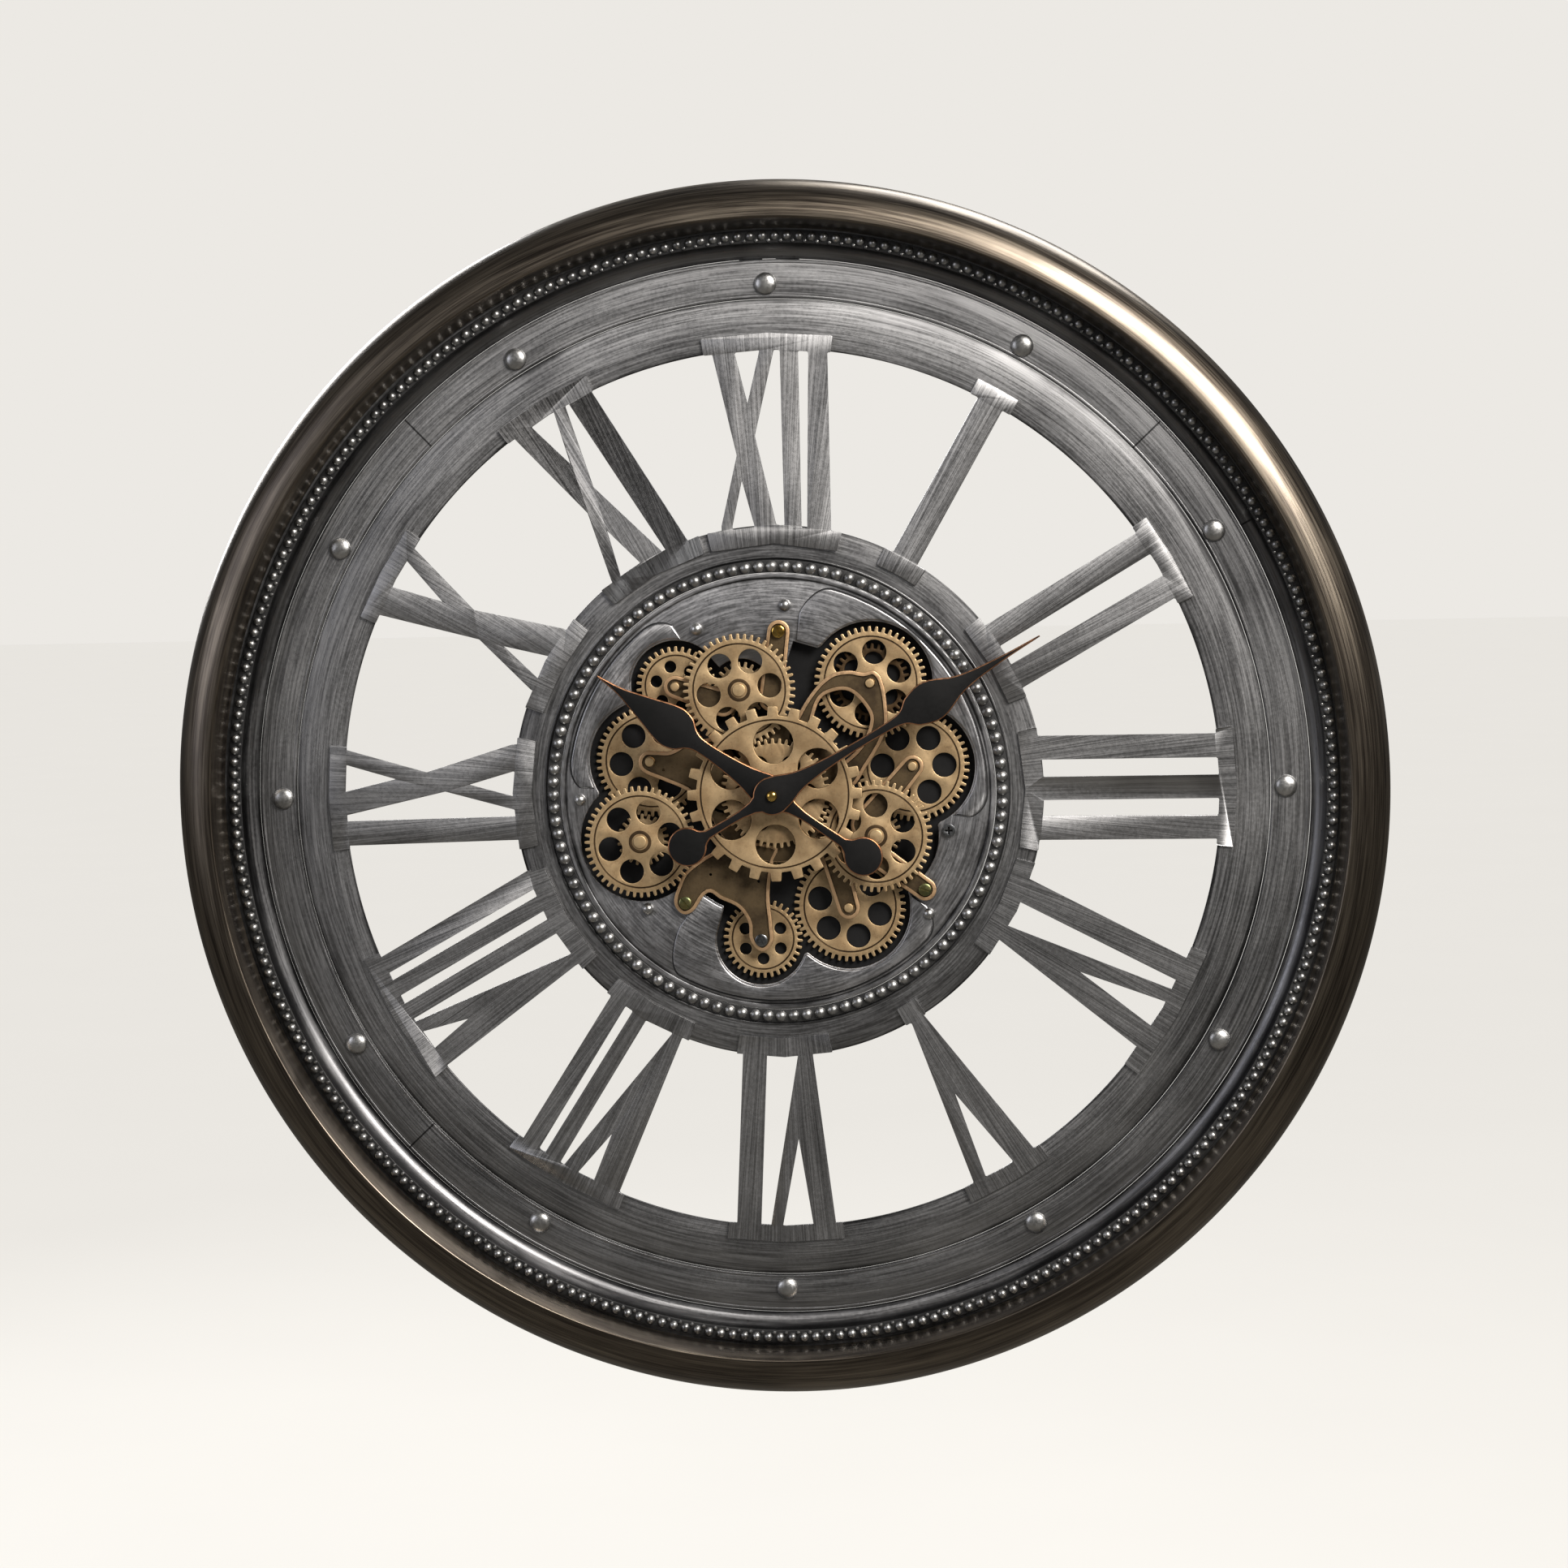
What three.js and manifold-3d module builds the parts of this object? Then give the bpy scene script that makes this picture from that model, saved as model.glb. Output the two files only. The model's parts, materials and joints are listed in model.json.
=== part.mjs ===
// Large skeleton wall clock: a rolled metal rim, riveted rings, cut-out Roman numerals, and a
// medallion of turning gears behind two spade hands.
// Millimetres, +Z up. The wall is the plane y = 0 and the clock faces -Y, so a "depth" below is
// the distance from the wall towards the room. The origin lies on the hands' axis.
import * as THREE from "three";
import { mergeVertices } from "three/addons/utils/BufferGeometryUtils.js";
import Module from "manifold-3d";

// ---------------------------------------------------------------- driving dimensions

const RIM_RADIUS = 400;
const RIM_DEPTH = 66; // wall to the crest of the rim
const RIM_CREST_WIDTH = 26; // rim's side to its crest
const RIM_SHOULDER_HEIGHT = 23; // crest down to where the side starts
const RIM_INNER_WIDTH = 5.5; // crest in to the lip
const RIM_INNER_HEIGHT = 19; // crest down to the lip
const RIM_FLANGE_WIDTH = 15; // flat of the rim that lies on the wall
const SHEET = 1.2; // thickness of all rolled and pressed sheet
const FIT_GAP = 0.3; // clearance between pieces that are fastened together

const FACE_DEPTH = 28; // wall to the front of the flat rings
const BEAD_TRIM_WIDTH = 8.4;
const BEAD_TRIM_HEIGHT = 4.2;
const COVE_WIDTH = 9.2;
const RIVET_BAND_WIDTH = 25.6;
const CHAPTER_RING_WIDTH = 32.3;
const HUB_RING_WIDTH = 31.5; // medallion to the open space behind the numerals

const NUMERAL_THICKNESS = 2;
const OUTER_SERIF_WIDTH = 10.4;
const INNER_SERIF_WIDTH = 12;
const RIVET_RADIUS = 7.7;
const RIVET_HEIGHT = 4;
const RIVET_COUNT = 12;
const RIVET_INSET = 9.8; // inner edge of the rivet band to the rivets' centres

const MODULE = 1.52; // pitch diameter of a wheel over its tooth count
const TOOTH_TIP = 0.8; // tooth above the pitch circle
const TOOTH_ROOT = 1.8; // gap below the pitch circle
const WHEEL_THICKNESS = 2.2;
const LAYER_GAP = 1.5; // free space between wheels that pass over each other
const TIP_MARGIN = 3.6; // free space between a wheel and the medallion's cut-out
const MEDALLION_MARGIN = 8; // cut-out to the medallion's edge
const ARBOR_RADIUS = 3;
const HUB_RISE = 1.2; // front end of an arbor over its wheel
const PIVOT_CLEARANCE = 0.8; // radius of a bearing hole over its arbor

const LARGE = 48; // teeth of a large outer wheel
const LARGE_HOLES = { count: 6, orbit: 20.5, radius: 8.1, segments: 8 };
const SMALL = 34; // teeth of a small outer wheel
const SMALL_HOLES = { count: 6, orbit: 13.5, radius: 4, segments: 5 };

const CENTRE_GEAR_TEETH = 24;
const CENTRE_GEAR_TIP_RADIUS = 58;
const CENTRE_GEAR_TOOTH_HEIGHT = 6;
const CENTRE_GEAR_THICKNESS = 3;
const CENTRE_WINDOWS = { count: 6, orbit: 33.4, radius: 13.4, segments: 12 };
const CENTRE_TUBE_RADIUS = 7;
const CENTRE_TUBE_BORE = 5.2;

const MOVEMENT_SIDE = 56;
const MOVEMENT_WALL = 1.7; // plastic in front of the cell
const BUSHING_RADIUS = 4.6;
const BUSHING_BORE = 3.5;
const HOUR_TUBE_RADIUS = 3;
const HOUR_TUBE_BORE = 2.2;
const MINUTE_ARBOR_RADIUS = 1.5;
const CELL_RADIUS = 7.25; // AA cell
const CELL_LENGTH = 50.5;
const CELL_CLEARANCE = 0.6;
const CELL_SET_BACK = 1; // wall to the cell

const HAND_THICKNESS = 1.5;
const HAND_GAP = 4.5; // free space from one hand to the next
const MINUTE_HAND_LENGTH = 203.5;
const MINUTE_TAIL = 65.6; // axis to the middle of the counterweight
const HOUR_HAND_LENGTH = 140;
const HOUR_TAIL = 71.5;
const COUNTERWEIGHT_RADIUS = 13;
const MINUTE_ANGLE = 60; // ten minutes past ten, degrees clockwise from twelve
const HOUR_ANGLE = 305;

const RING_SEGMENTS = 48;

// ---------------------------------------------------------------- derived radii and depths

const crestRadius = RIM_RADIUS - RIM_CREST_WIDTH;
const lipRadius = crestRadius - RIM_INNER_WIDTH;
const lipDepth = RIM_DEPTH - RIM_INNER_HEIGHT;
const beadOuter = lipRadius - 2 * FIT_GAP;
const beadInner = beadOuter - BEAD_TRIM_WIDTH;
const coveFlangeDepth = lipDepth - BEAD_TRIM_HEIGHT - FIT_GAP - 2.5;
const coveInner = beadInner - COVE_WIDTH;
const rivetBandOuter = coveInner - FIT_GAP;
const rivetBandInner = rivetBandOuter - RIVET_BAND_WIDTH;
const chapterOuter = rivetBandInner - FIT_GAP;
const chapterInner = chapterOuter - CHAPTER_RING_WIDTH;
const faceBack = FACE_DEPTH - SHEET;

const cellDepth = CELL_SET_BACK + CELL_RADIUS; // depth of a cell's axis
const bayFront = cellDepth + CELL_RADIUS + CELL_CLEARANCE / 2;
const movementFront = bayFront + MOVEMENT_WALL;
const panBack = movementFront + FIT_GAP;
const panFront = panBack + SHEET;
const rearLayer = panFront + LAYER_GAP; // wheels nearest the wall
const middleLayer = rearLayer + WHEEL_THICKNESS + LAYER_GAP;
const bridgeBack = Math.max(FACE_DEPTH + 2, middleLayer + WHEEL_THICKNESS + LAYER_GAP);
const bridgeFront = bridgeBack + 2.5;
const frontLayer = bridgeFront + LAYER_GAP + 0.5;
const centreLayer = frontLayer + WHEEL_THICKNESS + 2 * LAYER_GAP;
const centreFront = centreLayer + CENTRE_GEAR_THICKNESS;
const hourBack = centreFront + HAND_GAP + 3;
const minuteBack = hourBack + HAND_THICKNESS + HAND_GAP;
const nutBack = minuteBack + HAND_THICKNESS + FIT_GAP;
const NUT_HEIGHT = 3.2;
const arborRear = panBack; // arbors end flush with the pan's back
const bearingRadius = ARBOR_RADIUS + PIVOT_CLEARANCE;

// ---------------------------------------------------------------- solids

const wasm = await Module();
wasm.setup();

const group = new THREE.Group();

// A three.js geometry as a manifold-3d solid.
function solid(geometry) {
  geometry.deleteAttribute("normal");
  geometry.deleteAttribute("uv");
  const merged = mergeVertices(geometry, 1e-4);
  return new wasm.Manifold(
    new wasm.Mesh({
      numProp: 3,
      vertProperties: new Float32Array(merged.attributes.position.array),
      triVerts: new Uint32Array(merged.index.array),
    }),
  );
}

// A manifold-3d solid as a three.js geometry with flat faces.
function geometryOf(manifold) {
  const mesh = manifold.getMesh();
  const geometry = new THREE.BufferGeometry();
  const positions = new Float32Array(mesh.vertProperties);
  geometry.setAttribute("position", new THREE.BufferAttribute(positions, 3));
  geometry.setIndex(new THREE.BufferAttribute(new Uint32Array(mesh.triVerts), 1));
  const flat = geometry.toNonIndexed();
  flat.computeVertexNormals();
  return flat;
}

// Adds a solid to the clock as a named mesh.
function place(name, manifold, material) {
  const mesh = new THREE.Mesh(geometryOf(manifold), material);
  mesh.name = name;
  group.add(mesh);
}

// Extrudes a shape drawn on the clock's face (x to the right, y up) between two depths.
function plate(shape, back, front, curveSegments = 8) {
  const geometry = new THREE.ExtrudeGeometry(shape, {
    depth: front - back,
    bevelEnabled: false,
    curveSegments,
  });
  geometry.translate(0, 0, back);
  geometry.rotateX(Math.PI / 2);
  return solid(geometry);
}

// A polygon of face points.
function polygon(points) {
  return new THREE.Shape(points.map(([x, y]) => new THREE.Vector2(x, y)));
}

// Turns a profile of [radius, depth] pairs about the hands' axis. The profile starts and ends
// on the axis, or on one point.
function turned(profile, segments = RING_SEGMENTS) {
  const points = profile.map(([radius, depth]) => new THREE.Vector2(radius, depth));
  const geometry = new THREE.LatheGeometry(points, segments);
  geometry.rotateX(Math.PI);
  return solid(geometry);
}

// A flat ring between two depths.
function ring(inner, outer, back, front, segments = RING_SEGMENTS) {
  const start = [inner, back];
  return turned([start, [outer, back], [outer, front], [inner, front], start], segments);
}

// A disc between two depths.
function disc(radius, back, front, segments) {
  return turned([[0, back], [radius, back], [radius, front], [0, front]], segments);
}

// A round post at a face point.
function post([x, y], radius, back, front, segments = 8) {
  return disc(radius, back, front, segments).translate([x, 0, y]);
}

// A face point from a clock angle (degrees clockwise from twelve) and a radius.
function facePoint(angle, radius) {
  const turn = THREE.MathUtils.degToRad(angle);
  return [radius * Math.sin(turn), radius * Math.cos(turn)];
}

// Points of an ellipse's arc, from one angle to another in degrees.
function arc([cx, cy], [rx, ry], from, to, steps) {
  return Array.from({ length: steps + 1 }, (_, i) => {
    const turn = THREE.MathUtils.degToRad(from + ((to - from) * i) / steps);
    return [cx + rx * Math.cos(turn), cy + ry * Math.sin(turn)];
  });
}

function union(solids) {
  return solids.reduce((whole, piece) => whole.add(piece));
}

function metal(color, roughness, metalness = 1) {
  return new THREE.MeshStandardMaterial({ color, roughness, metalness });
}

const bronze = metal(0x6b5f50, 0.38);
const gunmetal = metal(0x5e5f62, 0.45);
const agedBrass = metal(0x9b8262, 0.5);
const darkBrass = metal(0x6f5e48, 0.55);
const blackSteel = metal(0x232325, 0.6, 0.6);
const blackPlastic = metal(0x1a1a1b, 0.5, 0);
const pewter = metal(0x8a8a88, 0.35);
const polishedBrass = metal(0xb99a5b, 0.3);
const cellJacket = metal(0x4a4f55, 0.4, 0.3);

// ---------------------------------------------------------------- rim and rings

// The rim is one rolled sheet: a flange on the wall, a straight side, a rounded shoulder up to
// the crest and a steep slope in to the lip. Its back is open.
function rim() {
  const shoulder = [crestRadius, RIM_DEPTH - RIM_SHOULDER_HEIGHT];
  const outerReach = [RIM_CREST_WIDTH, RIM_SHOULDER_HEIGHT];
  const innerReach = [RIM_CREST_WIDTH - SHEET, RIM_SHOULDER_HEIGHT - SHEET];
  const start = [RIM_RADIUS - RIM_FLANGE_WIDTH, 0];
  return turned([
    start,
    [RIM_RADIUS, 0],
    ...arc(shoulder, outerReach, 0, 90, 3),
    [lipRadius, lipDepth],
    [lipRadius + SHEET, lipDepth],
    ...arc(shoulder, innerReach, 90, 0, 2),
    [RIM_RADIUS - SHEET, SHEET],
    [RIM_RADIUS - RIM_FLANGE_WIDTH, SHEET],
    start,
  ]);
}

// A hollow curve from the flat rings up to a narrow flange that carries the beads.
function coveRing() {
  const height = coveFlangeDepth - FACE_DEPTH;
  const centre = [coveInner, coveFlangeDepth];
  const front = arc(centre, [COVE_WIDTH, height], -90, 0, 3);
  const back = arc(centre, [COVE_WIDTH + SHEET, height + SHEET], 0, -90, 3);
  back[0] = [coveInner + COVE_WIDTH + SHEET, coveFlangeDepth - SHEET];
  return turned([
    ...back.reverse(),
    [beadOuter, coveFlangeDepth - SHEET],
    [beadOuter, coveFlangeDepth],
    ...front.reverse(),
    back[0],
  ]);
}

function addRings() {
  const beadBack = coveFlangeDepth + FIT_GAP;
  place("bezel_rim", rim(), bronze);
  place("outer_bead_trim", ring(beadInner, beadOuter, beadBack, beadBack + BEAD_TRIM_HEIGHT), gunmetal);
  place("cove_ring", coveRing(), gunmetal);
  place("rivet_band", ring(rivetBandInner, rivetBandOuter, faceBack, FACE_DEPTH), gunmetal);
  place("chapter_ring", ring(chapterInner, chapterOuter, faceBack, FACE_DEPTH), gunmetal);
}

function addRivets() {
  const orbit = rivetBandInner + RIVET_INSET;
  const back = FACE_DEPTH + FIT_GAP;
  const dome = [[0, back], ...arc([0, back], [RIVET_RADIUS, RIVET_HEIGHT], 0, 90, 2)];
  for (let i = 0; i < RIVET_COUNT; i += 1) {
    const [x, y] = facePoint((360 / RIVET_COUNT) * (i + 1), orbit);
    place(`ring_rivet_${i + 1}`, turned(dome, 10).translate([x, 0, y]), pewter);
  }
}

// A keyhole strap on the rim's flange: the wall screw's head goes in the round part.
function addHanger() {
  const halfWidth = 20;
  const hole = 6;
  const slot = 3;
  const slotRise = 12;
  const back = SHEET + FIT_GAP;
  const top = RIM_RADIUS - 12;
  const bottom = RIM_RADIUS - 66;
  const holeHeight = RIM_RADIUS - 44;
  const outline = polygon([[-halfWidth, bottom], [halfWidth, bottom], [halfWidth, top], [-halfWidth, top]]);
  const slotHalf = Math.asin(slot / hole);
  const keyhole = new THREE.Path();
  keyhole.absarc(0, holeHeight + slotRise, slot, 0, Math.PI, false);
  keyhole.absarc(0, holeHeight, hole, Math.PI / 2 + slotHalf, Math.PI / 2 - slotHalf, false);
  keyhole.closePath();
  outline.holes.push(keyhole);
  place("hanger_plate", plate(outline, back, back + SHEET), blackSteel);
}

// ---------------------------------------------------------------- wheels

const drive = { teeth: 66, at: [0, 0] }; // hidden wheel in the rear layer
const frontDrive = { teeth: 47, at: [0, 0] }; // hidden wheel in the front layer

// Distance between the axes of two wheels in mesh.
function meshDistance(teethA, teethB) {
  return ((teethA + teethB) * MODULE) / 2;
}

// The face point at one distance from the clock's axis and another from a wheel, on the
// clockwise side of that wheel (side 1) or the other (side -1).
function besideWheel(orbit, wheel, distance, side) {
  const reach = Math.hypot(...wheel.at);
  const start = Math.atan2(wheel.at[0], wheel.at[1]);
  const cosine = (orbit ** 2 + reach ** 2 - distance ** 2) / (2 * orbit * reach);
  const turn = start + side * Math.acos(cosine);
  return [orbit * Math.sin(turn), orbit * Math.cos(turn)];
}

// The angle at which a wheel's first tooth has to stand so that a gap meets its partner's tooth.
function meshPhase(partner, partnerTeeth, partnerPhase, at, teeth) {
  const line = Math.atan2(at[1] - partner[1], at[0] - partner[0]);
  const teethToLine = ((line - partnerPhase) * partnerTeeth) / (2 * Math.PI);
  return line + Math.PI - (0.5 - teethToLine) * ((2 * Math.PI) / teeth);
}

// Orbits are in half modules, the unit in which a centre distance is a sum of teeth.
const ORBIT = {
  small_upper: 127.6,
  top_right: 126,
  lower_left: 126.6,
  right: 121.2,
  bottom_right: 118.6,
  small_lower: 130.2,
};
// Clock angles of the wheels that the drive wheels turn.
const DRIVEN_ANGLE = { top_left: 341.8, lower_right: 113.8, left: 284.4 };

// A wheel whose place follows from its orbit and from the pinion or wheel that it meshes with.
function wheelBeside(teeth, orbit, partner, partnerTeeth, side) {
  const distance = meshDistance(partnerTeeth, teeth);
  return { teeth, at: besideWheel((orbit * MODULE) / 2, partner, distance, side) };
}

const frontMesh = meshDistance(frontDrive.teeth, LARGE);
const topLeft = { teeth: LARGE, pinion: 23, at: facePoint(DRIVEN_ANGLE.top_left, frontMesh) };
const lowerRight = { teeth: LARGE, pinion: 20, at: facePoint(DRIVEN_ANGLE.lower_right, frontMesh) };
const left = { teeth: LARGE, at: facePoint(DRIVEN_ANGLE.left, meshDistance(drive.teeth, LARGE)) };
const smallUpper = wheelBeside(SMALL, ORBIT.small_upper, topLeft, topLeft.pinion, -1);
const lowerLeftPinion = 22;
const lowerLeft = {
  teeth: LARGE,
  pinion: lowerLeftPinion,
  at: besideWheel((ORBIT.lower_left * MODULE) / 2, left, meshDistance(lowerLeftPinion, LARGE), -1),
};
const right = wheelBeside(LARGE, ORBIT.right, lowerRight, lowerRight.pinion, -1);
const topRightPinion = 33;
const topRight = {
  teeth: LARGE,
  pinion: topRightPinion,
  at: besideWheel((ORBIT.top_right * MODULE) / 2, right, meshDistance(topRightPinion, LARGE), -1),
};
const bottomRight = wheelBeside(LARGE, ORBIT.bottom_right, lowerRight, lowerRight.pinion, 1);
const smallLower = wheelBeside(SMALL, ORBIT.small_lower, bottomRight, LARGE, 1);
const outerWheels = [
  topLeft, lowerRight, left, smallUpper, lowerLeft, right, topRight, bottomRight, smallLower,
];

const tipRadius = (teeth) => (teeth * MODULE) / 2 + TOOTH_TIP;
const rootRadius = (teeth) => (teeth * MODULE) / 2 - TOOTH_ROOT;

// A toothed disc about a face point, with pointed teeth and no holes.
function toothed(teeth, at, phase, back, front) {
  const points = [];
  for (let i = 0; i < teeth; i += 1) {
    const turn = phase + (i / teeth) * 2 * Math.PI;
    const gap = turn + Math.PI / teeth;
    points.push([at[0] + tipRadius(teeth) * Math.cos(turn), at[1] + tipRadius(teeth) * Math.sin(turn)]);
    points.push([at[0] + rootRadius(teeth) * Math.cos(gap), at[1] + rootRadius(teeth) * Math.sin(gap)]);
  }
  return plate(polygon(points), back, front);
}

// A ring of round holes to cut from a wheel, the first at a clock angle.
function lighteningHoles(at, { count, orbit, radius, segments }, start, back, front) {
  const holes = [];
  for (let i = 0; i < count; i += 1) {
    const [x, y] = facePoint(start + (360 / count) * i, orbit);
    holes.push(post([at[0] + x, at[1] + y], radius, back - 1, front + 1, segments));
  }
  return union(holes);
}

// An outer wheel with its arbor, and the pinions that turn with it.
function outerWheel(wheel, layer, arborBack, arborFront, pinions = []) {
  const front = layer + WHEEL_THICKNESS;
  const size = wheel.teeth === LARGE ? LARGE_HOLES : SMALL_HOLES;
  const holes = lighteningHoles(wheel.at, size, wheel.holeStart, layer, front);
  let made = toothed(wheel.teeth, wheel.at, wheel.phase, layer, front).subtract(holes);
  for (const { teeth, phase, back, end } of pinions) {
    made = made.add(toothed(teeth, wheel.at, phase, back, end));
  }
  return made.add(post(wheel.at, ARBOR_RADIUS, arborBack, arborFront));
}

// Turns each wheel so that its teeth stand in the gaps of the wheel that drives it. Drive
// wheels and driving pinions keep phase 0.
function setPhases() {
  topLeft.phase = meshPhase(frontDrive.at, frontDrive.teeth, 0, topLeft.at, LARGE);
  lowerRight.phase = meshPhase(frontDrive.at, frontDrive.teeth, 0, lowerRight.at, LARGE);
  left.phase = meshPhase(drive.at, drive.teeth, 0, left.at, LARGE);
  smallUpper.phase = meshPhase(topLeft.at, topLeft.pinion, 0, smallUpper.at, SMALL);
  lowerLeft.pinionPhase = meshPhase(left.at, LARGE, left.phase, lowerLeft.at, lowerLeft.pinion);
  lowerLeft.phase = 0;
  right.phase = meshPhase(lowerRight.at, lowerRight.pinion, 0, right.at, LARGE);
  topRight.pinionPhase = meshPhase(right.at, LARGE, right.phase, topRight.at, topRight.pinion);
  topRight.phase = 0;
  bottomRight.phase = meshPhase(lowerRight.at, lowerRight.pinion, 0, bottomRight.at, LARGE);
  smallLower.phase = meshPhase(bottomRight.at, LARGE, bottomRight.phase, smallLower.at, SMALL);
  topLeft.holeStart = 22;
  smallUpper.holeStart = 45;
  topRight.holeStart = 8;
  left.holeStart = 25;
  lowerLeft.holeStart = 17;
  right.holeStart = 30;
  lowerRight.holeStart = 0;
  bottomRight.holeStart = 45;
  smallLower.holeStart = 0;
}

function addWheels() {
  setPhases();
  const bridgedTop = bridgeFront + FIT_GAP;
  const frontTop = frontLayer + WHEEL_THICKNESS + HUB_RISE;
  const pinion = (teeth, phase, layer) => ({ teeth, phase, back: layer, end: layer + WHEEL_THICKNESS });
  const rearWheel = (wheel) => outerWheel(wheel, rearLayer, arborRear, bridgedTop);
  const middleWheel = (wheel, pinions) => outerWheel(wheel, middleLayer, arborRear, bridgedTop, pinions);
  const frontWheel = (wheel, back, pinions) => outerWheel(wheel, frontLayer, back, frontTop, pinions);
  const topLeftPinion = pinion(topLeft.pinion, 0, middleLayer);
  const topRightGear = pinion(topRight.pinion, topRight.pinionPhase, rearLayer);
  const lowerLeftGear = pinion(lowerLeft.pinion, lowerLeft.pinionPhase, rearLayer);
  const lowerRightPinion = pinion(lowerRight.pinion, 0, rearLayer);
  place("gear_top_left", frontWheel(topLeft, arborRear, [topLeftPinion]), agedBrass);
  place("gear_small_upper", middleWheel(smallUpper), agedBrass);
  place("gear_top_right", middleWheel(topRight, [topRightGear]), agedBrass);
  place("gear_left", rearWheel(left), agedBrass);
  place("gear_lower_left", frontWheel(lowerLeft, motorShaftBack, [lowerLeftGear]), agedBrass);
  place("gear_right", rearWheel(right), agedBrass);
  place("gear_lower_right", frontWheel(lowerRight, arborRear, [lowerRightPinion]), agedBrass);
  place("gear_bottom_right", rearWheel(bottomRight), agedBrass);
  place("gear_small_lower", rearWheel(smallLower), agedBrass);
}

// The centre gear has square-cut teeth, six round windows, and the long tube that the two
// hidden drive wheels are pressed on.
function addCentreTrain() {
  const root = CENTRE_GEAR_TIP_RADIUS - CENTRE_GEAR_TOOTH_HEIGHT;
  const pitch = (2 * Math.PI) / CENTRE_GEAR_TEETH;
  const tip = CENTRE_GEAR_TIP_RADIUS;
  const corners = [[root, -0.26], [tip, -0.2], [tip, 0.2], [root, 0.26]]; // radius, share of the pitch
  const points = [];
  for (let i = 0; i < CENTRE_GEAR_TEETH; i += 1) {
    for (const [radius, share] of corners) {
      const turn = (i + share) * pitch;
      points.push([radius * Math.cos(turn), radius * Math.sin(turn)]);
    }
  }
  const tubeBack = panFront + FIT_GAP + 0.2;
  const windows = lighteningHoles([0, 0], CENTRE_WINDOWS, 0, centreLayer, centreFront);
  const blank = plate(polygon(points), centreLayer, centreFront).subtract(windows);
  const bore = disc(CENTRE_TUBE_BORE, tubeBack - 1, centreFront + 1, 12);
  const tube = disc(CENTRE_TUBE_RADIUS, tubeBack, centreFront, 12);
  place("centre_gear", blank.add(tube).subtract(bore), agedBrass);
  const seat = disc(CENTRE_TUBE_RADIUS + 2 * FIT_GAP, 0, RIM_DEPTH, 12);
  const rearBlank = toothed(drive.teeth, drive.at, 0, rearLayer, rearLayer + WHEEL_THICKNESS);
  place("drive_wheel_rear", rearBlank.subtract(seat), agedBrass);
  const frontBlank = toothed(frontDrive.teeth, frontDrive.at, 0, frontLayer, frontLayer + WHEEL_THICKNESS);
  place("drive_wheel_front", frontBlank.subtract(seat), agedBrass);
}

// ---------------------------------------------------------------- medallion

const wheelReach = Math.max(...outerWheels.map((w) => Math.hypot(...w.at) + tipRadius(w.teeth)));
const medallionRadius = wheelReach + TIP_MARGIN + MEDALLION_MARGIN;
const panOuter = medallionRadius - MEDALLION_MARGIN / 2;
const hubInner = medallionRadius + FIT_GAP;
const hubOuter = medallionRadius + HUB_RING_WIDTH;

const BRIDGE_ARM = 7.7; // radius of a bridge arm's round end
const SCREW_RADIUS = 1.6;
const SCREW_HEAD_RADIUS = 4.2;
const TAB_RADIUS = 5.5;
const PINION_MARGIN = 2; // free space between the top left pinion and the medallion
const centreCut = meshDistance(drive.teeth, LARGE) - 2.6; // medallion's opening behind the centre gear
const bridgeTabs = [
  { name: "top", at: facePoint(2.1, centreCut + 22.8) },
  { name: "right", at: facePoint(123.8, centreCut + 33.4) },
  { name: "left", at: facePoint(220.5, centreCut + 11.7) },
];

// The face plate of the medallion, cut out round the wheels behind it.
function medallionPlate() {
  const back = faceBack;
  const front = FACE_DEPTH;
  const cutWheel = (wheel) => post(wheel.at, tipRadius(wheel.teeth) + TIP_MARGIN, back - 1, front + 1, 18);
  const lobes = outerWheels.filter((wheel) => wheel !== topLeft).map(cutWheel);
  const pinionHole = post(topLeft.at, tipRadius(topLeft.pinion) + PINION_MARGIN, back - 1, front + 1, 12);
  const notch = polygon([[0, 0], facePoint(6, centreCut + 17), facePoint(26, centreCut + 17)]);
  const screwHoles = bridgeTabs.map((tab) => post(tab.at, SCREW_RADIUS + 0.4, back - 1, front + 1, 8));
  const cuts = [
    ...lobes,
    pinionHole,
    disc(centreCut, back - 1, front + 1, 24),
    plate(notch, back - 1, front + 1),
    ...screwHoles,
  ];
  return disc(medallionRadius, back, front, RING_SEGMENTS).subtract(union(cuts));
}

// A shallow dish behind the medallion that carries the rear bearing of each arbor.
function gearPan() {
  const outside = disc(panOuter, panBack, faceBack - FIT_GAP, RING_SEGMENTS);
  const inside = disc(panOuter - SHEET, panFront, faceBack, RING_SEGMENTS);
  const bearingHole = (wheel) => post(wheel.at, bearingRadius, panBack - 1, panFront + 1);
  const bearings = outerWheels.map(bearingHole);
  const centreHole = disc(BUSHING_RADIUS + PIVOT_CLEARANCE, panBack - 1, panFront + 1, 12);
  return outside.subtract(union([inside, centreHole, ...bearings]));
}

// A straight arm with round ends.
function arm([ax, ay], [bx, by], radiusA, radiusB, back, front) {
  const turn = Math.atan2(by - ay, bx - ax);
  const lean = Math.acos((radiusA - radiusB) / Math.hypot(bx - ax, by - ay));
  const shape = new THREE.Shape();
  shape.absarc(ax, ay, radiusA, turn + lean, turn + 2 * Math.PI - lean, false);
  shape.absarc(bx, by, radiusB, turn - lean, turn + lean, false);
  shape.closePath();
  return plate(shape, back, front, 3);
}

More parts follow.
